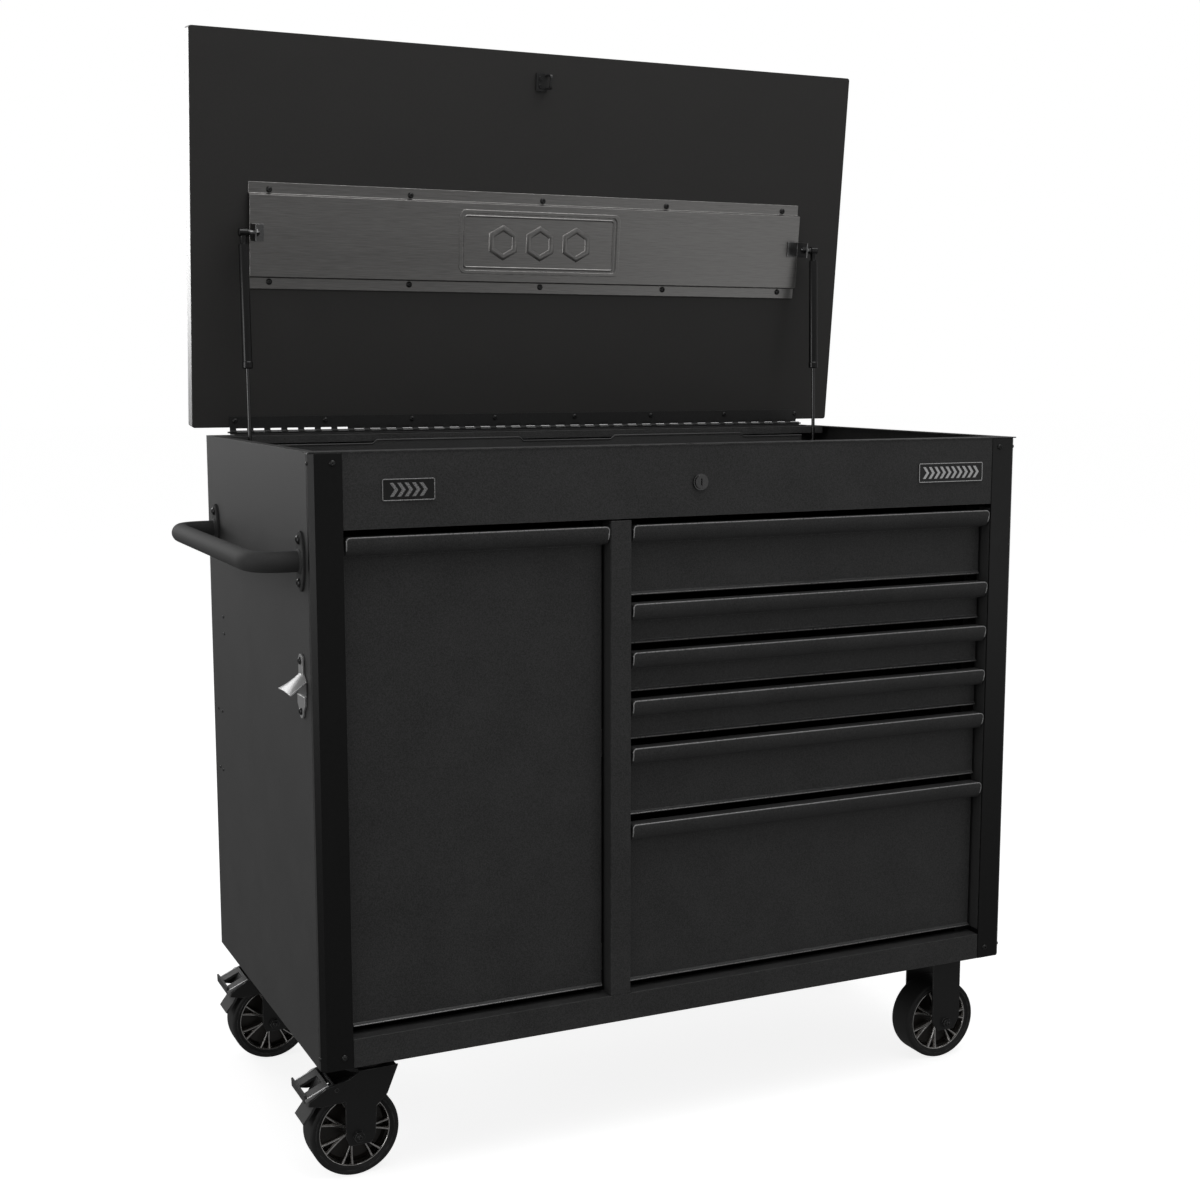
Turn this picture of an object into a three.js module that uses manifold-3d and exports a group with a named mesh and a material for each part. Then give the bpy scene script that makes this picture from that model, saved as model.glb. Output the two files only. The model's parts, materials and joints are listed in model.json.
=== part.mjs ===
// Mobile tool cabinet with a lift-up worktop, a tall pull-out, six drawers and four castors.
// Millimetres, +Z up, the front faces -Y. The design frame has x = 0 at the left side of the
// body, y = 0 at its front face and z = 0 at its underside; the last lines move the finished
// group so that the origin is under the middle of the whole object, on the floor.
import * as THREE from 'three';
import { mergeVertices } from 'three/addons/utils/BufferGeometryUtils.js';
import Module from 'manifold-3d';

const wasm = await Module();
wasm.setup();

// ---- driving dimensions ---------------------------------------------------------------
const width = 1120;             // body, outside to outside
const depth = 590;
const height = 830;
const castorHeight = 175;       // floor to the underside of the body
const sheet = 1.6;              // steel sheet of the body
const gap = 0.4;                // clearance between touching pieces
const centreX = width / 2;

const postWidth = 44;
const postProud = 1;            // how far a corner post stands in front of the fascia
const postReturn = 13;          // how far it wraps round the side
const postChamfer = 7;
const railHeight = 40;
const rimFront = 30;            // depth of the folded rim round the top compartment
const rimSide = 15;
const rimRear = 60;
const fasciaBottom = height - 102;
const floorTop = fasciaBottom - gap;

const dividerLeft = 428;
const dividerRight = 459;
const dividerDepth = 25;
const leftBay = [postWidth, dividerLeft];
const rightBay = [dividerRight, width - postWidth];

const faceRecess = 20;          // drawer faces sit this far behind the front
const faceInset = 6;            // side gap of a drawer face in its bay
const pullInset = 3.5;
const pullTop = fasciaBottom - 10;
const rowGap = 10;              // from a face's lower edge to the next pull
const smallRow = 69;
const mediumRow = 111;
const rowHeights = [mediumRow, smallRow, smallRow, smallRow, mediumRow];
const lowestFace = railHeight + rowGap;

const hingePin = { y: depth - 9, z: height + 4 };
const lidOpen = THREE.MathUtils.degToRad(84.1);
const lidOverhang = 23;
const lidThickness = 28;
const lidUnderside = hingePin.z + 3.5;
const lidBack = hingePin.y - 7.3;
const lidFront = hingePin.y - 611.9;

const castorInsetX = 80;
const castorInsetY = 67;
const castorTrail = 22;
const wheelRadius = 63.5;
const axleZ = wheelRadius - castorHeight;

// ---- materials ------------------------------------------------------------------------
const finish = (color, roughness, metalness) =>
  new THREE.MeshStandardMaterial({ color, roughness, metalness });
const powderCoat = () => finish(0x2b2b2c, 0.7, 0.2);
const satinBlack = () => finish(0x111112, 0.45, 0.2);
const brushedSteel = () => finish(0x9a9a98, 0.35, 1.0);
const zinc = () => finish(0xb8b8b6, 0.3, 1.0);
const blackPlastic = () => finish(0x181818, 0.55, 0.0);
const rubber = () => finish(0x1c1c1c, 0.85, 0.0);
const smokedChrome = () => finish(0x6a6864, 0.15, 1.0);

// ---- geometry helpers -----------------------------------------------------------------
function box(x0, x1, y0, y1, z0, z1) {
  const geometry = new THREE.BoxGeometry(x1 - x0, y1 - y0, z1 - z0);
  return geometry.translate((x0 + x1) / 2, (y0 + y1) / 2, (z0 + z1) / 2);
}

// An outline of [a, b] points swept along one axis. Along X the outline is in Y and Z,
// along Y it is in X and Z, and along Z it is in X and Y.
function prism(outline, axis, from, to, holes = []) {
  const asShape = (points, Kind) => new Kind(points.map(([a, b]) => new THREE.Vector2(a, b)));
  const shape = asShape(outline, THREE.Shape);
  shape.holes = holes.map((points) => asShape(points, THREE.Path));
  const geometry = new THREE.ExtrudeGeometry(shape, { depth: to - from, bevelEnabled: false });
  if (axis === 'x') geometry.rotateX(Math.PI / 2).rotateZ(Math.PI / 2).translate(from, 0, 0);
  if (axis === 'y') geometry.rotateX(Math.PI / 2).translate(0, to, 0);
  if (axis === 'z') geometry.translate(0, 0, from);
  return geometry;
}

function rod(axis, radius, from, to, a, b, sides = 16) {
  return prism(arc(a, b, radius, 0, 2 * Math.PI, sides).slice(0, -1), axis, from, to);
}

function arc(a, b, radius, start, end, steps) {
  return Array.from({ length: steps + 1 }, (_, i) => {
    const angle = start + ((end - start) * i) / steps;
    return [a + radius * Math.cos(angle), b + radius * Math.sin(angle)];
  });
}

function roundedRectangle(a0, a1, b0, b1, radius, steps = 3) {
  const quarter = Math.PI / 2;
  return [
    ...arc(a1 - radius, b1 - radius, radius, 0, quarter, steps),
    ...arc(a0 + radius, b1 - radius, radius, quarter, 2 * quarter, steps),
    ...arc(a0 + radius, b0 + radius, radius, 2 * quarter, 3 * quarter, steps),
    ...arc(a1 - radius, b0 + radius, radius, 3 * quarter, 4 * quarter, steps),
  ];
}

function toManifold(geometry) {
  const bare = geometry.clone();
  bare.deleteAttribute('normal');
  bare.deleteAttribute('uv');
  const merged = mergeVertices(bare, 1e-4);
  const vertProperties = new Float32Array(merged.attributes.position.array);
  const triVerts = new Uint32Array(merged.index.array);
  return new wasm.Manifold(new wasm.Mesh({ numProp: 3, vertProperties, triVerts }));
}

function fromManifold(manifold) {
  const mesh = manifold.getMesh();
  const geometry = new THREE.BufferGeometry();
  geometry.setAttribute('position', new THREE.BufferAttribute(mesh.vertProperties, 3));
  geometry.setIndex(new THREE.BufferAttribute(mesh.triVerts, 1));
  geometry.computeVertexNormals();
  return geometry;
}

function join(...geometries) {
  return fromManifold(geometries.map(toManifold).reduce((sum, next) => sum.add(next)));
}

function cut(geometry, ...tools) {
  const start = toManifold(geometry);
  return fromManifold(tools.map(toManifold).reduce((rest, tool) => rest.subtract(tool), start));
}

function overlap(first, second) {
  return fromManifold(toManifold(first).intersect(toManifold(second)));
}

function mirrorX(geometry, aboutX) {
  const mirrored = toManifold(geometry).mirror([1, 0, 0]).translate([2 * aboutX, 0, 0]);
  return fromManifold(mirrored);
}

function addMesh(group, name, geometry, material) {
  const mesh = new THREE.Mesh(geometry, material);
  mesh.name = name;
  group.add(mesh);
  return mesh;
}

// ---- gas strut geometry, shared by the lid, the body and the struts --------------------
const strutX = 49.5;
const strutFoot = { y: 505.6, z: 750 };
const strutBallReach = 312;     // from the hinge pin along the lid
const strutBallDrop = 36;       // below the lid's underside when closed
const ballClosed = { y: hingePin.y - strutBallReach, z: lidUnderside - strutBallDrop };
const ballOpen = turnAboutPin(ballClosed, -lidOpen);
const strutLength = Math.hypot(ballOpen.y - strutFoot.y, ballOpen.z - strutFoot.z);
const strutLean = Math.atan2(ballOpen.y - strutFoot.y, ballOpen.z - strutFoot.z);

function turnAboutPin({ y, z }, angle) {
  const dy = y - hingePin.y;
  const dz = z - hingePin.z;
  return {
    y: hingePin.y + dy * Math.cos(angle) - dz * Math.sin(angle),
    z: hingePin.z + dy * Math.sin(angle) + dz * Math.cos(angle),
  };
}

// ---- body shell -----------------------------------------------------------------------
const studPlateFace = sheet + 1.5;
const linerThickness = 1.6;
const linerFace = depth - sheet - 3 - linerThickness;

function sidePanel() {
  const start = postReturn + gap;
  const rimStart = rimFront + gap;
  const wall = cut(box(0, sheet, start, depth, 0, height),
    box(-1, sheet + 1, start - 1, rimStart, height - sheet - gap, height + 1));
  const rim = box(0, rimSide, rimStart, depth, height - sheet, height);
  const studPlate = box(sheet - 0.5, studPlateFace, strutFoot.y - 22, strutFoot.y + 22,
    strutFoot.z - 20, strutFoot.z + 26);
  const studEnd = strutX - 7;
  const stud = rod('x', 4, sheet, studEnd, strutFoot.y, strutFoot.z, 10);
  const studHead = rod('x', 6, studEnd - 4, studEnd, strutFoot.y, strutFoot.z, 10);
  return join(wall, rim, studPlate, stud, studHead);
}

function cornerPost() {
  const front = -postProud;
  const shoulder = front + postChamfer;
  const inset = sheet * (Math.SQRT2 - 1);
  const outline = [
    [0, postReturn], [0, shoulder], [postChamfer, front], [postWidth, front],
    [postWidth, front + sheet], [postChamfer + inset, front + sheet],
    [sheet, shoulder + inset], [sheet, postReturn],
  ];
  const lipDepth = 16;
  const inwardLip = box(postWidth - sheet, postWidth, front, lipDepth, 0, height - sheet - gap);
  return join(prism(outline, 'z', 0, height - sheet - gap), inwardLip);
}

function backPanel() {
  const left = sheet + gap;
  const rimLeft = rimSide + gap;
  const lowTop = height - sheet - gap;
  const wall = box(left, width - left, depth - sheet, depth, 0, lowTop);
  const upper = box(rimLeft, width - rimLeft, depth - sheet, depth, lowTop - 1, height);
  const rim = box(rimLeft, width - rimLeft, depth - rimRear, depth, height - sheet, height);
  const returnDrop = 12;
  const edge = box(rimLeft, width - rimLeft, depth - rimRear, depth - rimRear + sheet,
    height - returnDrop, height);
  return join(wall, upper, rim, edge);
}

function basePan() {
  const left = sheet + gap;
  const back = depth - sheet - gap;
  const floor = box(left, width - left, rimFront + gap, back, 0, sheet);
  const ribs = [0.35, 0.65].map((share) =>
    box(left + 40, width - left - 40, depth * share, depth * share + 30, sheet / 2, 12));
  return join(floor, ...ribs);
}

function compartmentFloor() {
  const left = studPlateFace + gap;
  return box(left, width - left, rimFront + gap, linerFace - gap, floorTop - sheet, floorTop);
}

function centreDivider() {
  const low = railHeight + gap;
  const high = floorTop - sheet - gap;
  const front = box(dividerLeft, dividerRight, 0, sheet, low, high);
  const leftReturn = box(dividerLeft, dividerLeft + sheet, 0, dividerDepth, low, high);
  const rightReturn = box(dividerRight - sheet, dividerRight, 0, dividerDepth, low, high);
  const middle = (dividerLeft + dividerRight - sheet) / 2;
  const back = depth - sheet - gap;
  const partition = box(middle, middle + sheet, 1, back, low, high);
  const foot = box(middle, middle + sheet, rimFront + gap, back, 12 + gap, low + 1);
  return join(front, leftReturn, rightReturn, partition, foot);
}

const lock = { x: centreX + 7, z: fasciaBottom + 48, radius: 10 };
const latch = { x: centreX - 2, y: 14.3, half: 12 };

function frontFascia() {
  const left = postWidth + gap;
  const right = width - left;
  const plate = box(left, right, 0, sheet, fasciaBottom, height);
  const rim = box(0, width, -postProud, rimFront, height - sheet, height);
  const returnDrop = 12;
  const edge = box(rimSide + gap, width - rimSide - gap, rimFront - sheet, rimFront,
    height - returnDrop, height);
  const lowerFlange = box(left, right, 0, rimFront, fasciaBottom, fasciaBottom + sheet);
  const lockHole = rod('y', lock.radius + gap, -5, 5, lock.x, lock.z, 20);
  const latchSlot = box(latch.x - 6, latch.x + 6, latch.y - latch.half - 0.5,
    latch.y + latch.half + 0.5, height - 5, height + 5);
  return cut(join(plate, rim, edge, lowerFlange), lockHole, latchSlot);
}

function bottomRail() {
  const left = postWidth + gap;
  const right = width - left;
  return join(
    box(left, right, 0, sheet, 0, railHeight),
    box(left, right, 0, rimFront, railHeight - sheet, railHeight),
    box(left, right, 0, rimFront, 0, sheet),
  );
}

// The thin lining sheet in front of the back wall, with two raised stretches on its edge.
function rearLiner() {
  const top = height - 18;
  const raise = 5;
  const slope = 7;
  const bump = (x0, x1) => [[x0, top], [x0 + slope, top + raise], [x1 - slope, top + raise], [x1, top]];
  const outline = [
    [rimSide + 3, floorTop - sheet], [rimSide + 3, top],
    ...bump(268, 530), ...bump(704, 966),
    [width - rimSide - 3, top], [width - rimSide - 3, floorTop - sheet],
  ];
  return prism(outline.reverse(), 'y', linerFace, linerFace + linerThickness);
}

// ---- side handle and fittings ---------------------------------------------------------
const sideHandle = { radius: 14, reach: 64, z: 686, front: 41, rear: 532, bend: 46 };

function sideHandleTube() {
  const { radius, reach, z, front, rear, bend } = sideHandle;
  const point = (x, y) => new THREE.Vector3(x, y, z);
  const path = new THREE.CurvePath();
  path.add(new THREE.LineCurve3(point(-gap - 2, front), point(bend - reach, front)));
  path.add(new THREE.QuadraticBezierCurve3(point(bend - reach, front), point(-reach, front),
    point(-reach, front + bend)));
  path.add(new THREE.LineCurve3(point(-reach, front + bend), point(-reach, rear - bend)));
  path.add(new THREE.QuadraticBezierCurve3(point(-reach, rear - bend), point(-reach, rear),
    point(bend - reach, rear)));
  path.add(new THREE.LineCurve3(point(bend - reach, rear), point(-gap - 2, rear)));
  const section = new THREE.Shape(arc(0, 0, radius, 0, 2 * Math.PI, 12).slice(0, -1)
    .map(([a, b]) => new THREE.Vector2(a, b)));
  const tube = new THREE.ExtrudeGeometry(section, { steps: 44, extrudePath: path });
  const flange = (y) => {
    const oval = arc(0, 0, 1, 0, 2 * Math.PI, 20).slice(0, -1);
    return prism(oval.map(([a, b]) => [y + 17 * a, z + 40 * b]), 'x', -gap - 4, -gap);
  };
  return join(tube, flange(front), flange(rear));
}

// A backplate with a screw lug at each end, under a hood that flares out to its catching edge.
const opener = { y: 50, low: 485, high: 553, lug: 9.5, waist: 20, edge: 30, reach: 28.5 };

function bottleOpener() {
  const { y, low, high, lug, waist, edge, reach } = opener;
  const back = -gap;
  const outline = [
    ...arc(y, high, lug, 0, Math.PI, 6), [y - waist, high - 23], [y - waist, low + 17],
    ...arc(y, low, lug, Math.PI, 2 * Math.PI, 6), [y + waist, low + 17], [y + waist, high - 23],
  ];
  const screwHole = (z) => arc(y, z, 2.6, 0, 2 * Math.PI, 10).slice(0, -1);
  const plate = prism(outline, 'x', back - 3, back, [screwHole(low), screwHole(high)]);
  const section = prism([
    [back, high - 5], [2 - reach, 517], [-reach, 513], [1.5 - reach, 511.5], [4 - reach, 514.5],
    [back, high - 12],
  ], 'y', y - edge, y + edge);
  const plan = prism([
    [y + 7, high - 4], [y - 7, high - 4], [y - waist, high - 25], [y - edge, 510],
    [y + edge, 510], [y + waist, high - 25],
  ], 'x', -reach - 1, 0);
  return join(plate, overlap(section, plan));
}

function badge(x0, x1, z0, z1) {
  const plate = prism(roundedRectangle(x0, x1, z0, z1, 4), 'y', -gap - 1.5, -gap);
  const recess = prism(roundedRectangle(x0 + 3, x1 - 3, z0 + 3, z1 - 3, 2), 'y', -9, -gap - 0.8);
  return cut(plate, recess);
}

function lockPlug() {
  const face = rod('y', lock.radius - gap, -5, 12, lock.x, lock.z, 20);
  const collar = rod('y', lock.radius + 2, -3, -gap, lock.x, lock.z, 20);
  const keySlot = box(lock.x - 0.9, lock.x + 0.9, -9, -1.5, lock.z - 5, lock.z + 5);
  const cam = prism(roundedRectangle(lock.x - 30, lock.x + 6, lock.z - 6, lock.z + 6, 5),
    'y', 12 - gap, 15);
  return join(cut(join(face, collar), keySlot), cam);
}

// ---- drawers --------------------------------------------------------------------------
// The pull is a rounded lip in front of the face, open underneath for the fingers.
function pullProfile(top) {
  const y = faceRecess;
  const lip = 2.2;
  const nose = 11;
  const front = -2;
  const quarter = Math.PI / 2;
  return [
    [y, top], [front + nose, top],
    ...arc(front + nose, top - nose, nose, quarter, 2 * quarter, 5).slice(1),
    [front, top - 20], [front + 2.5, top - 24], [front + 4.5, top - 24], [front + lip, top - 19],
    ...arc(front + nose, top - nose, nose - lip, 2 * quarter, quarter, 4),
    [y - lip, top - lip], [y - lip, top - 27], [y, top - 27],
  ].reverse();
}

function drawerFront([bayLeft, bayRight], top, bottom) {
  const pull = prism(pullProfile(top), 'x', bayLeft + pullInset, bayRight - pullInset);
  const faceLeft = bayLeft + faceInset;
  const faceRight = bayRight - faceInset;
  const face = box(faceLeft, faceRight, faceRecess - 0.5, faceRecess + sheet, bottom, top - 2);
  const lip = box(faceLeft, faceRight, faceRecess - 3, faceRecess, bottom, bottom + 4);
  return join(pull, face, lip);
}

const slideSpace = 13;
const boxWall = 1.4;
const boxFront = faceRecess + sheet + gap;
const boxDepth = 535;

function openBox(x0, x1, y0, y1, z0, z1) {
  const cavity = box(x0 + boxWall, x1 - boxWall, y0 + boxWall, y1 - boxWall, z0 + boxWall, z1 + 1);
  return cut(box(x0, x1, y0, y1, z0, z1), cavity);
}

function drawerBox([bayLeft, bayRight], top, bottom) {
  const left = bayLeft + slideSpace;
  const right = bayRight - slideSpace;
  return openBox(left, right, boxFront, boxFront + boxDepth, bottom + 5, top - 8);
}

// The tall pull-out carries a floor tray, a back plate and a shelf between two end plates.
function pulloutRack([bayLeft, bayRight], top, bottom) {
  const left = bayLeft + slideSpace;
  const right = bayRight - slideSpace;
  const tray = openBox(left, right, boxFront, boxFront + boxDepth, bottom + 5, bottom + 75);
  const endPlate = (y) => box(left, right, y, y + boxWall, bottom + 10, top - 8);
  const backEdge = boxFront + boxDepth - boxWall;
  return join(tray, endPlate(boxFront), endPlate(backEdge));
}

function pulloutShelf([bayLeft, bayRight], middle) {
  const left = bayLeft + slideSpace;
  const right = bayRight - slideSpace;
  const front = boxFront + boxWall + gap;
  return openBox(left, right, front, boxFront + boxDepth - boxWall - gap, middle, middle + 45);
}

// ---- lid (built closed, then swung open about the hinge pin) ---------------------------
const panelThickness = 1.6;

function lidWorktop() {
  const left = -lidOverhang;
  const right = width + lidOverhang;
  const low = lidUnderside + panelThickness + gap;
  const high = lidUnderside + lidThickness;
  const shell = prism(roundedRectangle(left, right, lidFront, lidBack, 4), 'z', low, high);
  const hollow = box(left + 2, right - 2, lidFront + 2, lidBack - 2, low - 1, high - 2);
  return cut(shell, hollow);
}

function lidInnerPanel() {
  const outline = roundedRectangle(-lidOverhang, width + lidOverhang, lidFront, lidBack, 4);
  return prism(outline, 'z', lidUnderside, lidUnderside + panelThickness);
}

const channel = { left: 66, right: width - 66, near: 225.5, far: 388.5, flange: 19, drop: 10 };

function lidChannel() {
  const near = hingePin.y - channel.near;
  const far = hingePin.y - channel.far;
  const top = lidUnderside - gap;
  const webNear = near - channel.flange;
  const webFar = far + channel.flange;
  const low = top - channel.drop;
  const bend = 2;
  const outline = [
    [far, top], [far, top - sheet], [webFar - bend, top - sheet], [webFar, low],
    [webNear, low], [webNear + bend, top - sheet], [near, top - sheet], [near, top],
    [webNear + bend - sheet, top], [webNear - sheet, low + sheet],
    [webFar + sheet, low + sheet], [webFar - bend + sheet, top],
  ];
  const hat = prism(outline, 'x', channel.left, channel.right);
  const frame = prism(roundedRectangle(412, 700, hingePin.y - 359, hingePin.y - 257, 9), 'z',
    low - 1.5, low + 0.5, [roundedRectangle(417, 695, hingePin.y - 354, hingePin.y - 262, 6)]);
  return join(hat, frame);
}

function strutBracket() {
  const webFace = lidUnderside - gap - channel.drop;
  const y = ballClosed.y;
  const foot = box(channel.left + gap, channel.left + 22, y - 13, y + 13, webFace - 2.4, webFace - gap);
  const leg = box(channel.left + gap, channel.left + 2.5, y - 13, y + 13, ballClosed.z - 9, webFace - gap);
  const stud = rod('x', 4, strutX + 7.4, channel.left + 1, y, ballClosed.z, 10);
  return join(foot, leg, stud);
}

// A loop that reaches down through the slot in the front rim, on a foot with two rivets.
function latchHook() {
  const top = lidUnderside - gap;
  const { x, y, half } = latch;
  const wire = 3.5;
  const foot = box(x - 17, x + 3, y - half - 2, y + half + 2, top - 3, top);
  const rivets = [-half / 2, half / 2].map((dy) => rod('z', 3, top - 5, top - 2, x - 10, y + dy, 10));
  const loop = prism(roundedRectangle(y - half, y + half, top - 25, top + 9, 5), 'x', x - 2, x + 2,
    [roundedRectangle(y - half + wire, y + half - wire, top - 25 + wire, top + 9 - wire, 3)]);
  const below = box(x - 9, x + 9, y - 2 * half, y + 2 * half, top - 30, top - 1);
  return join(foot, ...rivets, overlap(loop, below));
}

// ---- piano hinge ----------------------------------------------------------------------
const hinge = { left: 36, pitch: 27.6, count: 38, lidKnuckle: 10, leaf: 1.4, radius: 3.4, sides: 6 };
const hingeTail = 9;            // how far the lid leaf runs past its last knuckle
const knuckleGap = 0.5;

function knuckle(radius, from, to) {
  return rod('x', radius, from, to, hingePin.y, hingePin.z, hinge.sides);
}

function hingeBodyLeaf() {
  const right = hinge.left + hinge.pitch * hinge.count;
  const leaf = box(hinge.left, right, hingePin.y - 28, hingePin.y, height + gap, height + gap + hinge.leaf);
  const clearances = [];
  const knuckles = [];
  for (let i = 0; i < hinge.count; i += 1) {
    const start = hinge.left + i * hinge.pitch;
    clearances.push(box(start - knuckleGap, start + hinge.lidKnuckle + knuckleGap,
      hingePin.y - 6, hingePin.y + 6, height - 1, height + 9));
    knuckles.push(knuckle(hinge.radius, start + hinge.lidKnuckle + knuckleGap,
      start + hinge.pitch - knuckleGap));
  }
  return join(cut(leaf, ...clearances), ...knuckles, knuckle(1.6, hinge.left - 4, right + 4));
}

function hingeLidLeaf() {
  const last = hinge.left + hinge.pitch * (hinge.count - 1) + hinge.lidKnuckle;
  const high = lidUnderside - gap;
  const leaf = box(hinge.left, last + hingeTail, hingePin.y - 25, hingePin.y - 7.5,
    high - hinge.leaf, high);
  const pieces = [];
  for (let i = 0; i < hinge.count; i += 1) {
    const start = hinge.left + i * hinge.pitch;
    const end = start + hinge.lidKnuckle;
    pieces.push(knuckle(hinge.radius, start, end));
    pieces.push(box(start, end, hingePin.y - 8.5, hingePin.y, high - hinge.leaf, high));
  }
  return cut(join(leaf, ...pieces), knuckle(2.2, hinge.left - 9, last + 9));
}

// ---- gas struts (built upright over their foot, then leaned) ----------------------------
const strut = { cylinder: 207, radius: 7.5, bore: 3.6, rodRadius: 3.1, socket: 6.6 };

function leanStrut(geometry) {
  return geometry.rotateX(-strutLean).translate(strutX, strutFoot.y, strutFoot.z);
}

function strutCylinder() {
  const low = strutLength - strut.cylinder;
  const profile = [
    [strut.bore, low], [strut.radius - 1, low], [strut.radius, low + 2],
    [strut.radius, strutLength - 18], [5, strutLength - 15], [5, strutLength - 6],
    [0, strutLength - 6], [0, strutLength - 32], [strut.bore, strutLength - 32],
  ].map(([r, z]) => new THREE.Vector2(r, z));
  const barrel = new THREE.LatheGeometry([...profile, profile[0]], 16).rotateX(Math.PI / 2);
  const socket = rod('x', strut.socket, -7, 7, 0, strutLength, 12);
  return leanStrut(join(barrel, socket));
}

function strutRod() {
  const high = strutLength - strut.cylinder + 20;
  const shaft = rod('z', strut.rodRadius, 4, high, 0, 0, 12);
  const neck = rod('z', 4.6, 3, 20, 0, 0, 12);
  const socket = rod('x', strut.socket, -6.4, 7, 0, 0, 12);
  return leanStrut(join(shaft, neck, socket));
}

// ---- castors (each built about its own plate centre, then moved into place) ------------
const fork = { inside: 34.5, thick: 3.5, crownTop: -18 };
const axle = { radius: 5, reach: 43.5, nut: 8 };

function swivelPlate() {
  const plate = prism(roundedRectangle(-50, 50, -43, 43, 8), 'z', -gap - 3.5, -gap);
  const race = rod('z', 33, fork.crownTop + gap, -gap - 3, 0, 0, 24);
  return join(plate, race);
}

function armPair(outline) {
  const { inside, thick } = fork;
  return [prism(outline, 'y', -inside - thick, -inside), prism(outline, 'y', inside, inside + thick)];
}

function axleBolt(x) {
  const nut = (from, to) => rod('y', axle.nut, from, to, x, axleZ, 6);
  const side = fork.inside + fork.thick;
  return [
    rod('y', axle.radius, -side - 1, side + 1, x, axleZ, 12),
    nut(-axle.reach, -side + 1),
    nut(side - 1, axle.reach),
  ];
}

// The side plates reach back over the wheel to carry the brake lever, and an arm drops to the axle.
function swivelFork() {
  const x = -castorTrail;
  const top = fork.crownTop;
  const armBottom = axleZ - 12.5;
  const outline = [
    [36, top], [20, -57], [4, -72], [x + 24, axleZ - 2], [x + 17, armBottom], [x - 13, armBottom],
    [x - 18, axleZ], [x - 18, -59], [-74, -61], [-92, -57], [-90, -51], [-67, -36], [-34, -28],
    [-17, top],
  ].reverse();
  const side = fork.inside + fork.thick;
  const crown = box(-20, 34, -side, side, top - 4, top);
  const disc = rod('z', 36, top - 5, top, 0, 0, 24);
  const pedalPin = rod('y', 3, -side - 1, side + 1, pedalPivot.x, pedalPivot.z, 8);
  return join(crown, disc, ...armPair(outline), ...axleBolt(x), pedalPin);
}

const pedalPivot = { x: -52, z: -40 };

// The brake lever: an upper tread with a window in it, and a lower release tab.
function brakePedal() {
  const half = fork.inside - 1;
  const tread = prism([[-60, -37], [-94, -52], [-95.5, -48.5], [-62, -33.5]], 'y', -half, half);
  const window = prism([[-66, -60], [-90.5, -60], [-90.5, -20], [-66, -20]], 'y', -13, 13);
  const outerLip = prism([[-91, -50], [-94, -41], [-96.5, -41.5], [-96, -53]], 'y', -half, half);
  const web = prism([[-67, -38], [-72, -51], [-84, -72], [-96, -88], [-93.5, -90], [-81, -74],
    [-68, -51], [-62, -37]], 'y', -21, 21);
  const eyeHole = arc(pedalPivot.x, pedalPivot.z, 3.4, 0, 2 * Math.PI, 8).slice(0, -1);
  const ear = (y) => prism([[-66, -44], [-57, -48], [-45, -44], [-45, -36], [-57, -33], [-66, -35]],
    'y', y, y + 2.5, [eyeHole]);
  const inner = fork.inside - 2.5 - gap;
  return join(cut(tread, window), outerLip, web, ear(-inner - 2.5), ear(inner));
}

function fixedFork() {
  const plate = prism(roundedRectangle(-50, 50, -43, 43, 8), 'z', -gap - 4, -gap);
  const half = 26;
  const armBottom = axleZ - 12;
  const outline = [
    [-31, -2], [31, -2], [half, -12], [half, axleZ + 5], [half - 11, armBottom],
    [11 - half, armBottom], [-half, axleZ + 5], [-half, -12],
  ].reverse();
  return join(plate, ...armPair(outline), ...axleBolt(0));
}

function lathe(profile, sides) {
  const points = profile.map(([r, y]) => new THREE.Vector2(r, y));
  return new THREE.LatheGeometry([...points, points[0]], sides);
}

const tyreHalf = 23;
const rimRadius = 51.5;

function tyre() {
  const r = wheelRadius;
  const halfProfile = [[rimRadius, 19], [rimRadius + 3, 21.5], [r - 5, tyreHalf], [r - 1.2, 22], [r, 19]];
  const mirrored = halfProfile.map(([radius, y]) => [radius, -y]).reverse();
  return lathe([...halfProfile, ...mirrored].reverse(), 32);
}

function wheelHub() {
  const rim = rimRadius - gap;
  const ring = lathe([[rim - 4.5, -19], [rim, -19], [rim, 19], [rim - 4.5, 19], [rim - 6, 0]], 32);
  const spacer = fork.inside - gap;
  const bore = axle.radius + gap;
  const boss = lathe([
    [bore, -spacer], [9, -spacer], [9, -22], [14, -20], [16, 0], [14, 20], [9, 22], [9, spacer],
    [bore, spacer],
  ], 16);
  const spokes = [];
  const pairs = 7;
  const halfAngle = 0.19;
  for (let pair = 0; pair < pairs; pair += 1) {
    for (const lean of [-halfAngle, halfAngle]) {
      const spoke = box(13, rim - 3, -14, 14, -1.4, 1.4);
      spokes.push(spoke.rotateY((pair * 2 * Math.PI) / pairs + lean));
    }
  }
  return join(ring, boss, ...spokes);
}

// ---- assembly -------------------------------------------------------------------------
const chest = new THREE.Group();

function addShell() {
  addMesh(chest, 'left_side_panel', sidePanel(), powderCoat());
  addMesh(chest, 'right_side_panel', mirrorX(sidePanel(), centreX), powderCoat());
  addMesh(chest, 'left_corner_post', cornerPost(), satinBlack());
  addMesh(chest, 'right_corner_post', mirrorX(cornerPost(), centreX), satinBlack());
  addMesh(chest, 'back_panel', backPanel(), powderCoat());
  addMesh(chest, 'base_pan', basePan(), powderCoat());
  addMesh(chest, 'compartment_floor', compartmentFloor(), powderCoat());
  addMesh(chest, 'centre_divider', centreDivider(), powderCoat());
  addMesh(chest, 'front_fascia', frontFascia(), powderCoat());
  addMesh(chest, 'bottom_rail', bottomRail(), powderCoat());
  addMesh(chest, 'rear_liner', rearLiner(), powderCoat());
}

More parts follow.
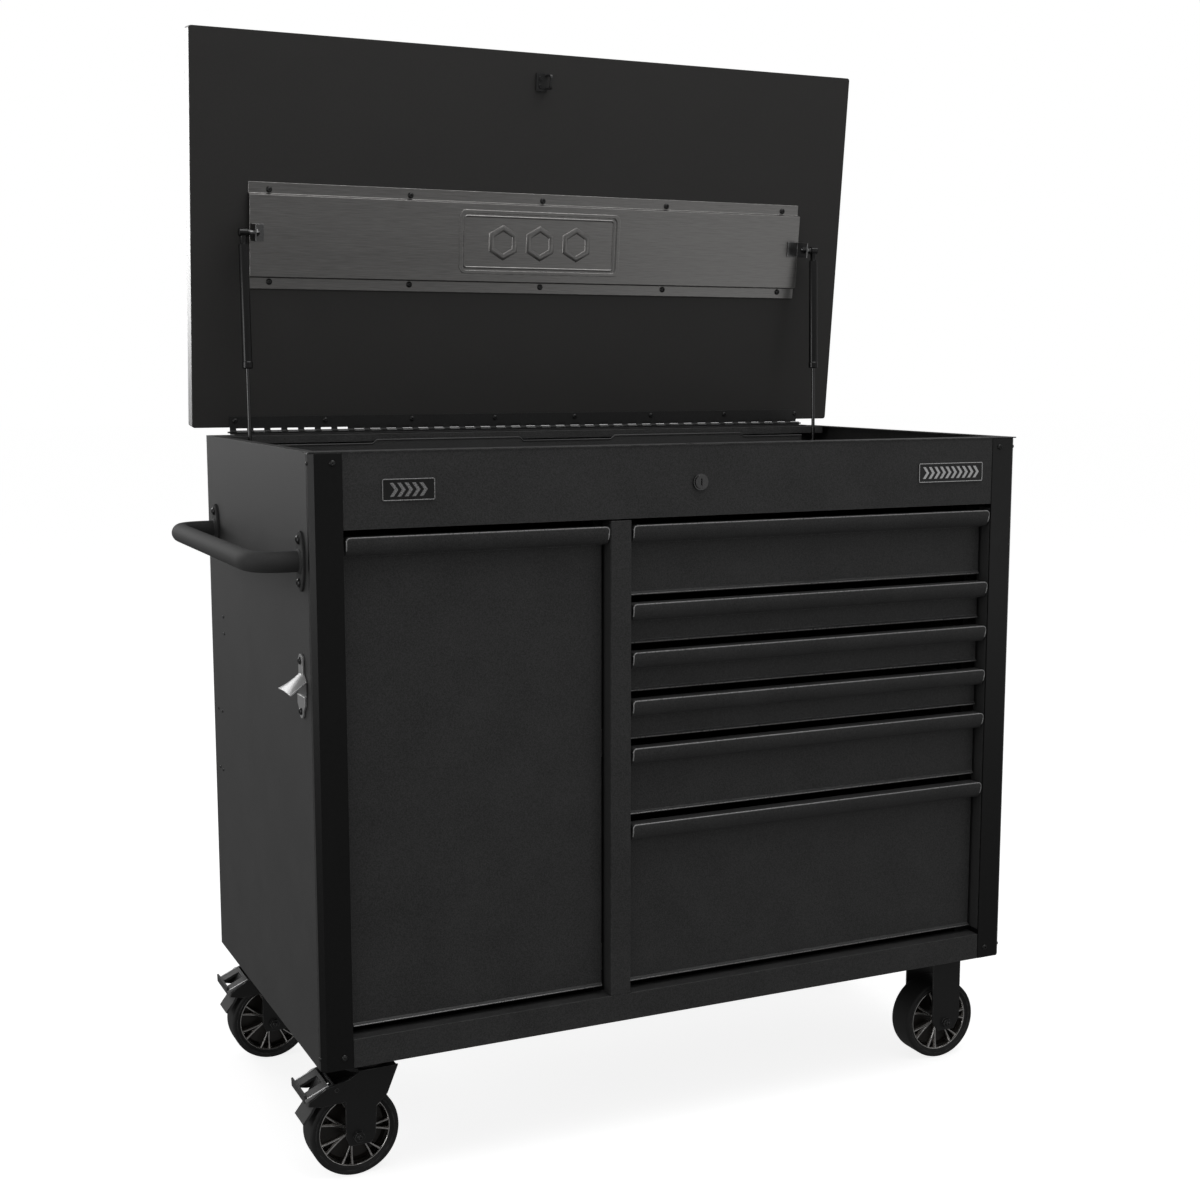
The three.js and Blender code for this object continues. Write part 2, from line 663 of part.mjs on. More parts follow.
function addFittings() {
  const badgeLow = fasciaBottom + 36;
  addMesh(chest, 'side_handle', sideHandleTube(), powderCoat());
  addMesh(chest, 'bottle_opener', bottleOpener(), zinc());
  addMesh(chest, 'left_badge', badge(97, 170, badgeLow, badgeLow + 29), zinc());
  addMesh(chest, 'right_badge', badge(940, 1057, badgeLow, badgeLow + 29), zinc());
  addMesh(chest, 'lock_plug', lockPlug(), smokedChrome());
}

function addDrawers() {
  let top = pullTop;
  [...rowHeights, pullTop - rowHeights.reduce((sum, row) => sum + row) - lowestFace + rowGap]
    .forEach((row, index) => {
      const bottom = top - row + rowGap;
      addMesh(chest, `drawer_${index + 1}_box`, drawerBox(rightBay, top, bottom), powderCoat());
      addMesh(chest, `drawer_${index + 1}_front`, drawerFront(rightBay, top, bottom), powderCoat());
      top -= row;
    });
  addMesh(chest, 'pullout_rack', pulloutRack(leftBay, pullTop, lowestFace), powderCoat());
  const shelfHeight = (pullTop + lowestFace) / 2;
  addMesh(chest, 'pullout_shelf', pulloutShelf(leftBay, shelfHeight), powderCoat());
  addMesh(chest, 'pullout_front', drawerFront(leftBay, pullTop, lowestFace), powderCoat());
}

function addLid() {
  const lid = new THREE.Group();
  lid.position.set(0, hingePin.y, hingePin.z);
  lid.rotation.x = -lidOpen;
  chest.add(lid);
  const fit = (geometry) => geometry.translate(0, -hingePin.y, -hingePin.z);
  addMesh(lid, 'lid_worktop', fit(lidWorktop()), brushedSteel());
  addMesh(lid, 'lid_inner_panel', fit(lidInnerPanel()), powderCoat());
  addMesh(lid, 'lid_channel', fit(lidChannel()), brushedSteel());
  addMesh(lid, 'lid_bracket_left', fit(strutBracket()), zinc());
  addMesh(lid, 'lid_bracket_right', fit(mirrorX(strutBracket(), centreX)), zinc());
  addMesh(lid, 'lid_latch_hook', fit(latchHook()), satinBlack());
  addMesh(lid, 'hinge_lid_leaf', fit(hingeLidLeaf()), satinBlack());
  addMesh(chest, 'hinge_body_leaf', hingeBodyLeaf(), satinBlack());
}

function addStruts() {
  addMesh(chest, 'strut_cylinder_left', strutCylinder(), satinBlack());
  addMesh(chest, 'strut_cylinder_right', mirrorX(strutCylinder(), centreX), satinBlack());
  addMesh(chest, 'strut_rod_left', strutRod(), smokedChrome());
  addMesh(chest, 'strut_rod_right', mirrorX(strutRod(), centreX), smokedChrome());
}

function addWheel(castor, name, axleX) {
  addMesh(castor, `${name}_tyre`, tyre(), rubber()).position.set(axleX, 0, axleZ);
  addMesh(castor, `${name}_hub`, wheelHub(), smokedChrome()).position.set(axleX, 0, axleZ);
}

function addCastors() {
  const rows = { front: castorInsetY, rear: depth - castorInsetY };
  for (const [row, y] of Object.entries(rows)) {
    const left = new THREE.Group();
    left.position.set(castorInsetX, y, 0);
    addMesh(left, `castor_${row}_left_plate`, swivelPlate(), satinBlack());
    addMesh(left, `castor_${row}_left_fork`, swivelFork(), satinBlack());
    addMesh(left, `castor_${row}_left_pedal`, brakePedal(), blackPlastic());
    addWheel(left, `castor_${row}_left`, -castorTrail);
    const right = new THREE.Group();
    right.position.set(width - castorInsetX, y, 0);
    addMesh(right, `castor_${row}_right_fork`, fixedFork(), satinBlack());
    addWheel(right, `castor_${row}_right`, 0);
    chest.add(left, right);
  }
}

addShell();
addFittings();
addDrawers();
addLid();
addStruts();
addCastors();

const bounds = new THREE.Box3().setFromObject(chest, true);
const middle = bounds.getCenter(new THREE.Vector3());
chest.position.set(-middle.x, -middle.y, castorHeight);

export default chest;
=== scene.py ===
"""Looks of the rolling tool chest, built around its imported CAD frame.

Shapes are drawn in millimetres of a local frame and then placed in the frame of the row:
TO_BODY has x = 0 at the left side, y = 0 at the front and z = 0 at the underside of the cabinet,
TO_LID lies on the inner face of the lid, with y measured from the hinge pin and z out of the face.
"""
import json
import math

import bmesh
import bpy
from mathutils import Matrix, Vector


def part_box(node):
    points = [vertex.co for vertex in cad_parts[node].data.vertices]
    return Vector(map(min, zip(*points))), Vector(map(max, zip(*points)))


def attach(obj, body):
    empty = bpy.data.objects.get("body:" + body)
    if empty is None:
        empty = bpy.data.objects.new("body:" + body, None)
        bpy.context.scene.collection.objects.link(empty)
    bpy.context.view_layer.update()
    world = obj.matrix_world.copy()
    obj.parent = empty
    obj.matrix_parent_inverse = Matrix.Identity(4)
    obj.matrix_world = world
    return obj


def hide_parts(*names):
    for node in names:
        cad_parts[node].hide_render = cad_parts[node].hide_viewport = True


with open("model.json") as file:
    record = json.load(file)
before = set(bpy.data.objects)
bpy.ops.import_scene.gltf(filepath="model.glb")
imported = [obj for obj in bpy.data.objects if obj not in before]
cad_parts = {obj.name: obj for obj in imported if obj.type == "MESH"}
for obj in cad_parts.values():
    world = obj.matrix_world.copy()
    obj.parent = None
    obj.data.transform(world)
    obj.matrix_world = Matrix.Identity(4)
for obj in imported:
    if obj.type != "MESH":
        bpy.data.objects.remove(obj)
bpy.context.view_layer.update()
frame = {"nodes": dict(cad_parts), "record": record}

MM = 0.001
TAU = 2 * math.pi
QUARTER = math.pi / 2


# ---- frames and measurements ---------------------------------------------------------------
def joint(name):
    """The record's joint of that name."""
    joints = frame["record"]["behaviour"]["joints"]
    return next(entry for entry in joints if entry["name"] == name)


side_low, side_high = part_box("left_side_panel")
right_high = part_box("right_side_panel")[1]
rail_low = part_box("bottom_rail")[0]
TO_BODY = Matrix.Translation((side_low.x, rail_low.y, side_low.z)) @ Matrix.Scale(MM, 4)

WIDTH = (right_high.x - side_low.x) / MM
HEIGHT = (side_high.z - side_low.z) / MM
CENTRE = WIDTH / 2

hinge_pin = Vector(joint("lid_hinge")["pos_m"])
lid_open = math.radians(joint("lid_hinge")["range_deg"][1])
PIN_TO_FACE = 3.5
TO_LID = (
    Matrix.Translation((side_low.x, hinge_pin.y, hinge_pin.z))
    @ Matrix.Rotation(-lid_open, 4, "X")
    @ Matrix.Translation((0, 0, PIN_TO_FACE * MM))
    @ Matrix.Rotation(math.pi, 4, "X")
    @ Matrix.Scale(MM, 4)
)


def body_box(node):
    """Lowest and highest corners of a CAD node in the cabinet's millimetres."""
    low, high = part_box(node)
    back = TO_BODY.inverted()
    return back @ low, back @ high


# ---- mesh building --------------------------------------------------------------------------
def arc(a, b, radius, start, end, steps):
    """Points of an arc about (a, b), both ends included."""
    angles = [start + (end - start) * i / steps for i in range(steps + 1)]
    return [(a + radius * math.cos(t), b + radius * math.sin(t)) for t in angles]


def circle(a, b, radius, steps=32):
    return arc(a, b, radius, 0, TAU, steps)[:-1]


def rounded_rectangle(a0, a1, b0, b1, radius, steps=6):
    return [
        *arc(a1 - radius, b1 - radius, radius, 0, QUARTER, steps),
        *arc(a0 + radius, b1 - radius, radius, QUARTER, 2 * QUARTER, steps),
        *arc(a0 + radius, b0 + radius, radius, 2 * QUARTER, 3 * QUARTER, steps),
        *arc(a1 - radius, b0 + radius, radius, 3 * QUARTER, TAU, steps),
    ]


SWEEP = {
    "x": lambda a, b, t: (t, a, b),
    "y": lambda a, b, t: (a, t, b),
    "z": lambda a, b, t: (a, b, t),
}


class Shape:
    """Collects closed solids, in millimetres of a local frame, and turns them into one piece."""

    def __init__(self):
        self.mesh = bmesh.new()

    def loop(self, points):
        return [self.mesh.verts.new(point) for point in points]

    def bridge(self, first, second):
        count = len(first)
        for i in range(count):
            j = (i + 1) % count
            self.mesh.faces.new((first[i], first[j], second[j], second[i]))

    def prism(self, outline, axis, start, end):
        """Sweeps an outline, given in the other two axes, along one axis."""
        place = SWEEP[axis]
        low = self.loop([place(a, b, start) for a, b in outline])
        high = self.loop([place(a, b, end) for a, b in outline])
        self.mesh.faces.new(low)
        self.mesh.faces.new(high[::-1])
        self.bridge(low, high)
        return self

    def ring(self, outer, inner, axis, start, end):
        """A prism with a hole; both outlines have the same number of points."""
        place = SWEEP[axis]
        loops = [
            self.loop([place(a, b, t) for a, b in outline])
            for outline, t in ((outer, start), (outer, end), (inner, end), (inner, start))
        ]
        for first, second in zip(loops, loops[1:] + loops[:1]):
            self.bridge(first, second)
        return self

    def box(self, x0, x1, y0, y1, z0, z1):
        return self.prism([(x0, y0), (x1, y0), (x1, y1), (x0, y1)], "z", z0, z1)

    def stack(self, loops, closed=False):
        """Joins rings of points in order; open stacks are capped at both ends."""
        rings = [self.loop(points) for points in loops]
        for first, second in zip(rings, rings[1:]):
            self.bridge(first, second)
        if closed:
            self.bridge(rings[-1], rings[0])
        else:
            self.mesh.faces.new(rings[0])
            self.mesh.faces.new(rings[-1][::-1])
        return self

    def lathe(self, profile, centre=(0, 0, 0), axis="z", steps=32, closed=False):
        """Turns (radius, height) points about an axis through centre."""
        place = SWEEP[axis]
        origin = Vector(centre)
        loops = []
        for radius, height in profile:
            ring = circle(0, 0, max(radius, 0.02), steps)
            loops.append([origin + Vector(place(a, b, height)) for a, b in ring])
        return self.stack(loops, closed)

    def tube(self, path, radius, sides=16):
        """A round bar along a path of points."""
        points = [Vector(point) for point in path]
        along = [
            (points[min(i + 1, len(points) - 1)] - points[max(i - 1, 0)]).normalized()
            for i in range(len(points))
        ]
        normal = along[0].orthogonal().normalized()
        loops = []
        for point, direction in zip(points, along):
            normal = (normal - direction * normal.dot(direction)).normalized()
            other = direction.cross(normal)
            loops.append([point + normal * a + other * b for a, b in circle(0, 0, radius, sides)])
        return self.stack(loops)

    def piece(self, name, place, body, material, bevel=0.0, angle=32, replaces=()):
        """Closes the shape into an object that rides on a body."""
        bmesh.ops.recalc_face_normals(self.mesh, faces=self.mesh.faces)
        data = bpy.data.meshes.new(name)
        self.mesh.to_mesh(data)
        self.mesh.free()
        data.transform(place)
        data.materials.append(material)
        data.shade_smooth()
        data.set_sharp_from_angle(angle=math.radians(angle))
        obj = bpy.data.objects.new(name, data)
        bpy.context.scene.collection.objects.link(obj)
        if bevel:
            round_edges(obj, bevel, angle)
        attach(obj, body)
        if replaces:
            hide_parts(*replaces)
        return obj


def round_edges(obj, width, angle=32, segments=2):
    """Rounds the sharp edges of an object, so that they catch the light."""
    bevel = obj.modifiers.new("rounded edges", "BEVEL")
    bevel.width = width * MM
    bevel.segments = segments
    bevel.limit_method = "ANGLE"
    bevel.angle_limit = math.radians(angle)
    bevel.harden_normals = True


def dress(node, material, bevel=0.5):
    """Gives a CAD node its finish, and rounds its edges."""
    obj = frame["nodes"][node]
    for slot in obj.material_slots:
        slot.material = material
    weld = obj.modifiers.new("weld", "WELD")
    weld.merge_threshold = 1e-5
    flat = obj.modifiers.new("flat faces", "DECIMATE")
    flat.decimate_type = "DISSOLVE"
    flat.angle_limit = math.radians(1)
    if bevel:
        round_edges(obj, bevel, 28)
    return obj


# ---- materials ------------------------------------------------------------------------------
class Nodes:
    """A few short calls for building a node tree."""

    def __init__(self, material):
        self.tree = material.node_tree
        self.shader = self.tree.nodes["Principled BSDF"]
        self.where = self.add("TexCoord").outputs["Object"]

    def add(self, kind, settings=None, **inputs):
        node = self.tree.nodes.new("ShaderNode" + kind)
        for key, value in (settings or {}).items():
            setattr(node, key, value)
        for key, value in inputs.items():
            self.set(node.inputs[key.replace("_", " ")], value)
        return node

    def set(self, socket, value):
        if isinstance(value, bpy.types.NodeSocket):
            self.tree.links.new(value, socket)
        else:
            socket.default_value = value

    def noise(self, size, detail=3.0, stretch=(1, 1, 1), rough=0.5):
        """Noise whose lumps are about `size` millimetres, longer where stretch is above 1."""
        scale = [1 / factor for factor in stretch]
        spread = self.add("Mapping", Vector=self.where, Scale=scale)
        texture = self.add(
            "TexNoise", Vector=spread.outputs["Vector"], Scale=1 / (size * MM),
            Detail=detail, Roughness=rough,
        )
        return texture.outputs["Fac"]

    def remap(self, value, low, high, to_low, to_high):
        node = self.add(
            "MapRange", Value=value, From_Min=low, From_Max=high, To_Min=to_low, To_Max=to_high
        )
        return node.outputs["Result"]

    def mix(self, factor, first, second):
        node = self.add("MixRGB", Fac=factor, Color1=first, Color2=second)
        return node.outputs["Color"]

    def math(self, operation, first, second):
        node = self.add("Math", {"operation": operation})
        self.set(node.inputs[0], first)
        self.set(node.inputs[1], second)
        return node.outputs["Value"]

    def edges(self, radius):
        """1 on edges sharper than about `radius` millimetres, and 0 on flat metal."""
        soft = self.add("Bevel", {"samples": 4}, Radius=radius * MM)
        flat = self.add("NewGeometry")
        dot = self.add("VectorMath", {"operation": "DOT_PRODUCT"})
        self.set(dot.inputs[0], soft.outputs["Normal"])
        self.set(dot.inputs[1], flat.outputs["Normal"])
        return self.remap(dot.outputs["Value"], 0.99, 0.86, 0.0, 1.0)


def grey(level, warmth=0.0):
    return (level * (1 + warmth), level, level * (1 - warmth), 1.0)


def finish(name, dark, light, rough, *, metallic=0.0, specular=0.5, warmth=0.0, grain=1.2,
           stretch=(1, 1, 1), cloud=70.0, relief=0.05, edge_wear_and_sheen=None, coat=0.0):
    """A procedural finish.

    The colour runs from `dark` to `light` over clouds and grain, the roughness over the same
    clouds, `relief` is the height of the grain in millimetres, and the edge grey level lightens
    sharp edges: partly bared metal, partly a painted highlight where edges catch the light.
    """
    material = bpy.data.materials.new(name)
    material.use_nodes = True
    nodes = Nodes(material)
    shader = nodes.shader
    shader.inputs["Metallic"].default_value = metallic
    shader.inputs["Specular IOR Level"].default_value = specular
    shader.inputs["Coat Weight"].default_value = coat
    fine = nodes.noise(grain, 4.0, stretch, 0.6)
    broad = nodes.noise(cloud, stretch=stretch)
    blend = nodes.math("ADD", nodes.math("MULTIPLY", fine, 0.82), nodes.math("MULTIPLY", broad, 0.18))
    spread = nodes.remap(blend, 0.34, 0.66, 0.0, 1.0)
    colour = nodes.mix(spread, grey(dark, warmth), grey(light, warmth))
    roughness = nodes.remap(blend, 0.3, 0.7, rough[0], rough[1])
    # sharp edges turn lighter and smoother: partly bared metal, partly a painted highlight along the edges
    if edge_wear_and_sheen is not None:
        patchy = nodes.remap(nodes.noise(9.0, 3.0), 0.42, 0.62, 0.15, 1.0)
        worn_and_lit_edges = nodes.math("MULTIPLY", nodes.edges(1.2), patchy)
        colour = nodes.mix(worn_and_lit_edges, colour, grey(edge_wear_and_sheen, warmth))
        roughness = nodes.math("SUBTRACT", roughness, nodes.math("MULTIPLY", worn_and_lit_edges, 0.08))
    bump = nodes.add("Bump", Height=fine, Strength=1.0, Distance=relief * MM)
    nodes.set(shader.inputs["Base Color"], colour)
    nodes.set(shader.inputs["Roughness"], roughness)
    nodes.set(shader.inputs["Normal"], bump.outputs["Normal"])
    return material


ALONG_X = (60, 1, 1)
# The edge grey levels below lighten sharp edges: partly wear, partly painted highlights along folds and rims.
powder = finish("powder_coat", 0.019, 0.063, (0.46, 0.66), grain=1.7, relief=0.27, edge_wear_and_sheen=0.14)
handle_coat = finish("handle_coat", 0.024, 0.048, (0.66, 0.8), grain=1.1, relief=0.16, edge_wear_and_sheen=0.1)
satin = finish("satin_black", 0.002, 0.004, (0.28, 0.38), specular=0.38, grain=3.0, relief=0.004,
               edge_wear_and_sheen=0.03)
hinge_paint = finish("hinge_paint", 0.016, 0.03, (0.36, 0.5), grain=2.0, relief=0.01, edge_wear_and_sheen=0.06)
strut_paint = finish("strut_paint", 0.003, 0.006, (0.18, 0.26), grain=3.0, relief=0.003)
inner_paint = finish("inner_paint", 0.04, 0.06, (0.4, 0.52), grain=1.6, relief=0.05, edge_wear_and_sheen=0.1)
lid_paint = finish("lid_paint", 0.028, 0.036, (0.5, 0.6), warmth=0.04, grain=2.2, relief=0.008,
                   edge_wear_and_sheen=0.05)
worktop = finish("worktop_steel", 0.4, 0.5, (0.36, 0.5), metallic=1.0, grain=0.5,
                 stretch=ALONG_X, relief=0.01, edge_wear_and_sheen=0.75)
# channel edges lightened almost to white: mostly a painted highlight along the folds
channel_steel = finish("channel_steel", 0.22, 0.35, (0.28, 0.4), metallic=1.0, warmth=0.02,
                       grain=0.5, stretch=ALONG_X, relief=0.01, edge_wear_and_sheen=0.9)
# bright metal for the thin bars along each hem and along the top rim: painted highlight lines
edge_highlight_metal = finish("edge_highlight_metal", 0.18, 0.3, (0.24, 0.34), metallic=0.8, grain=2.0, relief=0.01)
# zinc with a diffuse colour far above real metal's: partly the zinc, partly a painted reflection of the lamps,
# on the opener and the pedal edges
zinc_and_sheen = finish("zinc_and_sheen", 0.4, 0.52, (0.3, 0.42), metallic=0.55, grain=1.6, relief=0.03, edge_wear_and_sheen=0.9)
# bright metal for the thin bar along each pull's crest: a painted highlight of the crest catching the top light
crest_highlight_metal = finish("crest_highlight_metal", 0.42, 0.6, (0.24, 0.34), metallic=0.6, grain=2.0, relief=0.01)
dull_zinc = finish("dull_zinc", 0.16, 0.26, (0.26, 0.4), metallic=1.0, grain=1.2, relief=0.01,
                   edge_wear_and_sheen=0.6)
slide_zinc = finish("slide_zinc", 0.4, 0.5, (0.28, 0.4), metallic=1.0, grain=0.8,
                    stretch=(1, 50, 1), relief=0.01)
screw_black = finish("screw_black", 0.03, 0.05, (0.24, 0.34), metallic=0.7, grain=1.0,
                     relief=0.01, edge_wear_and_sheen=0.25)
# the lightened edges paint the highlight along the fork's top edge
castor_black = finish("castor_black", 0.006, 0.012, (0.36, 0.5), grain=2.5, relief=0.01, edge_wear_and_sheen=0.2)
pedal_grey = finish("pedal_plastic", 0.035, 0.06, (0.5, 0.62), grain=1.0, relief=0.06, edge_wear_and_sheen=0.14)
# the lightened edges paint a highlight on the sidewall ridges
rubber = finish("tyre_rubber", 0.010, 0.018, (0.55, 0.72), grain=0.9, relief=0.02, edge_wear_and_sheen=0.1)
hub_chrome = finish("hub_chrome", 0.4, 0.7, (0.06, 0.2), metallic=1.0, warmth=0.02, grain=4.0,
                    relief=0.002)
smoked_web = finish("smoked_web", 0.010, 0.018, (0.3, 0.4), warmth=0.2, grain=3.0, relief=0.004)
rod_steel = finish("rod_steel", 0.08, 0.12, (0.14, 0.22), metallic=1.0, grain=0.8, relief=0.002)
badge_field = finish("badge_field", 0.006, 0.012, (0.3, 0.42), grain=0.8, relief=0.02)
badge_metal = finish("badge_metal", 0.4, 0.52, (0.22, 0.32), metallic=1.0, grain=0.8, relief=0.01)
mat_foam = finish("drawer_mat", 0.012, 0.02, (0.75, 0.9), grain=0.6, relief=0.05)


# ---- small parts ----------------------------------------------------------------------------
def dome_screw(shape, centre, axis, radius, side=-1):
    """A pan-head screw whose head stands out of the surface to one side of an axis."""
    height = 0.55 * radius
    socket = 0.42 * radius
    profile = [
        (radius, 0.4), (radius, -0.12 * height), (0.9 * radius, -0.55 * height),
        (0.7 * radius, -0.86 * height), (0.5 * radius, -height), (socket, -height),
        (socket * 0.9, -0.3 * height), (0.05, -0.25 * height),
    ]
    shape.lathe([(r, -side * h) for r, h in profile], centre, axis, 20)


def hex_nut(shape, centre, axis, radius, thickness, side=-1):
    """A chamfered hexagon with its bolt end, standing out to one side of an axis."""
    place = SWEEP[axis]
    origin = Vector(centre)
    corner = circle(0, 0, radius, 6)
    inner = circle(0, 0, 0.86 * radius, 6)
    steps = [(corner, 0.0), (corner, 0.8 * thickness), (inner, thickness)]
    shape.stack([[origin + Vector(place(a, b, side * t)) for a, b in ring] for ring, t in steps])
    bolt = [(0.5 * radius, 0), (0.5 * radius, 1.25 * thickness), (0.42 * radius, 1.45 * thickness)]
    shape.lathe([(r, side * t) for r, t in bolt], centre, axis, 20)


# ---- fronts ---------------------------------------------------------------------------------
PULL_SHEET = 2.0
PULL_CREST = 2.6                # small radius along the top edge of a pull
PULL_CURL = (13.0, 22.0)        # half axes of the curve that its front follows
FACE_INSET = 2.5                # from a pull's end to the face's end
FACE_DEPTH = 22.0               # from the nose of the pull back to the face
PULL_CORNER = 5.0


def pull_curve(nose, top, inset):
    """The pull's front in (y, z), from its nose down to its free edge, `inset` behind the skin."""
    deep, tall = PULL_CURL[0] - inset, PULL_CURL[1] - inset
    angles = [math.radians(180 + 65 * i / 14) for i in range(15)]
    return [(nose + PULL_CURL[0] + deep * math.cos(t), top - 4 + tall * math.sin(t)) for t in angles]


def pull_profile(nose, top):
    """(y, z) outline of the rolled pull: a crisp crest, and a front that curls back under."""
    face = nose + FACE_DEPTH
    crest = arc(nose + PULL_CREST, top - PULL_CREST, PULL_CREST, QUARTER, 2 * QUARTER, 5)
    return [
        (face, top), *crest, *pull_curve(nose, top, 0), *pull_curve(nose, top, PULL_SHEET)[::-1],
        (nose + PULL_SHEET + 1, top - PULL_SHEET), (face - PULL_SHEET, top - PULL_SHEET),
        (face - PULL_SHEET, top - 27), (face, top - 27),
    ]


def pull_rings(x0, x1, nose, top):
    """Rings of points along the pull, whose upper corners are rounded off at both ends."""
    steps = 6
    turns = [QUARTER * i / steps for i in range(steps + 1)]
    stations = [(PULL_CORNER * (1 - math.cos(t)), PULL_CORNER * (1 - math.sin(t))) for t in turns]
    ends = [(x0 + along, drop) for along, drop in stations]
    ends += [(x1 - along, drop) for along, drop in reversed(stations)]
    rings = []
    for x, drop in ends:
        shares = [max(0.0, 1 - (top - z) / 12) for _, z in pull_profile(nose, top)]
        rings.append([(x, y, z - drop * share)
                      for (y, z), share in zip(pull_profile(nose, top), shares)])
    return rings


def build_front(node, body):
    """Drawer or pull-out front: rolled pull, flat face and a folded hem along its lower edge."""
    low, high = body_box(node)
    face = low.y + FACE_DEPTH
    shape = Shape()
    shape.stack(pull_rings(low.x, high.x, low.y, high.z))
    x0, x1 = low.x + FACE_INSET, high.x - FACE_INSET
    shape.box(x0, x1, face, face + 1.6, low.z + 2, high.z - 3)
    hem = [(face + 0.4, low.z + 5.4), (face - 0.4, low.z + 4.6), (face - 3, low.z + 2.0),
           (face - 3, low.z + 0.6), (face - 2.4, low.z), (face + 1.6, low.z), (face + 1.6, low.z + 5.4)]
    shape.prism(hem, "x", x0, x1)
    shape.piece(f"{node}_skin", TO_BODY, body, powder, 0.35, replaces=[node])
    build_highlight_lines(node, body, low, high)


def build_highlight_lines(node, body, low, high):
    """Thin bright metal bars along a pull's crest and down both of its ends, and along the lower hem: painted
    highlight lines where those edges catch the light.
    """
    radius = 0.9
    front = low.y + 0.8
    top = high.z - 0.6
    corner = [(PULL_CORNER * (1 - math.cos(t)), PULL_CORNER * (1 - math.sin(t)))
              for t in (QUARTER * i / 6 for i in range(7))]
    left = [(0.6, front + 2.2, top - 17), (0.3, front, top - 10)]
    left += [(along + 0.3, front, top - drop) for along, drop in corner]
    path = [(low.x + along, y, z) for along, y, z in left]
    path += [(high.x - along, y, z) for along, y, z in reversed(left)]
    crest = Shape()
    crest.tube(path, radius, 10)
    crest.piece(f"{node}_bright_edge", TO_BODY, body, crest_highlight_metal)
    hem = Shape()
    y, z = low.y + FACE_DEPTH - 2.8, low.z + 1.6
    hem.tube([(low.x + FACE_INSET, y, z), (high.x - FACE_INSET, y, z)], 0.8, 10)
    hem.piece(f"{node}_hem_edge", TO_BODY, body, edge_highlight_metal)


def build_fronts():
    for number in range(1, 7):
        build_front(f"drawer_{number}_front", f"drawer_{number}")
    build_front("pullout_front", "pullout")


# ---- side handle and opener -----------------------------------------------------------------
def bend_path(points, radius, steps=12):
    """Rounds the inner corners of a polyline."""
    path = [Vector(points[0])]
    for before, corner, after in zip(points, points[1:], points[2:]):
        corner = Vector(corner)
        start = corner + (Vector(before) - corner).normalized() * radius
        end = corner + (Vector(after) - corner).normalized() * radius
        for i in range(steps + 1):
            t = i / steps
            path.append(start * (1 - t) ** 2 + corner * 2 * t * (1 - t) + end * t ** 2)
    path.append(Vector(points[-1]))
    return path


HANDLE_RADIUS = 14.0
HANDLE_BEND = 46.0
FLANGE_HALF = (17.0, 40.0)
FLANGE_SCREW = 28.5             # above and below the tube's centre
FLANGE_THICK = 4.4


def build_side_handle():
    low, high = body_box("side_handle")
    z = (low.z + high.z) / 2
    front, rear = low.y + FLANGE_HALF[0], high.y - FLANGE_HALF[0]
    outer = low.x + HANDLE_RADIUS
    path = bend_path([(-2, front, z), (outer, front, z), (outer, rear, z), (-2, rear, z)], HANDLE_BEND)
    shape = Shape()
    shape.tube(path, HANDLE_RADIUS, 32)
    screws = Shape()
    for y in (front, rear):
        oval = [(y + FLANGE_HALF[0] * a, z + FLANGE_HALF[1] * b) for a, b in circle(0, 0, 1, 48)]
        rim = [(y + (FLANGE_HALF[0] - 1.5) * a, z + (FLANGE_HALF[1] - 1.5) * b)
               for a, b in circle(0, 0, 1, 48)]
        shape.stack([
            [(x, a, b) for a, b in ring]
            for ring, x in ((oval, -0.4), (oval, 1.2 - FLANGE_THICK), (rim, -FLANGE_THICK))
        ])
        collar = [(HANDLE_RADIUS + 3.5, 1 - FLANGE_THICK), (HANDLE_RADIUS + 2.6, -FLANGE_THICK - 1.2),
                  (HANDLE_RADIUS + 0.8, -FLANGE_THICK - 2.2), (HANDLE_RADIUS - 1, -FLANGE_THICK - 2.6)]
        shape.lathe(collar, (0, y, z), "x", 40)
        for offset in (-FLANGE_SCREW, FLANGE_SCREW):
            dome_screw(screws, (-FLANGE_THICK, y, z + offset), "x", 6.4)
    shape.piece("side_handle_bar", TO_BODY, "cabinet", handle_coat,
                replaces=["side_handle"])
    screws.piece("side_handle_screws", TO_BODY, "cabinet", screw_black)


OPENER_LUG = 9.5
OPENER_WAIST = 20.0
OPENER_EDGE = 30.0
OPENER_HOOD = (528.0, 513.0)    # heights of the hood's corners, at its root and at its catching edge
OPENER_MOUTH = (506.0, 530.0)   # the recess behind the hood; its darker zinc is painted shade under the hood


def opener_rings(y, reach):
    """Cross sections of the hood, arched at its root and flat at its catching edge."""
    steps = 8
    rings = []
    for i in range(steps + 1):
        t = i / steps
        out = -1.0 - (reach - 3.0) * t
        z = OPENER_HOOD[0] - (OPENER_HOOD[0] - OPENER_HOOD[1]) * t
        half = OPENER_WAIST + 1 + (OPENER_EDGE - OPENER_WAIST - 1) * t
        crown = 1.2 + 9.0 * (1 - t)
        across = [-1 + 2 * j / 12 for j in range(13)]
        outer = [(out, y + half * s, z + crown * (1 - s * s)) for s in across]
        inner = [(x + 1.4, b, c - 1.8) for x, b, c in reversed(outer)]
        rings.append(outer + inner)
    return rings


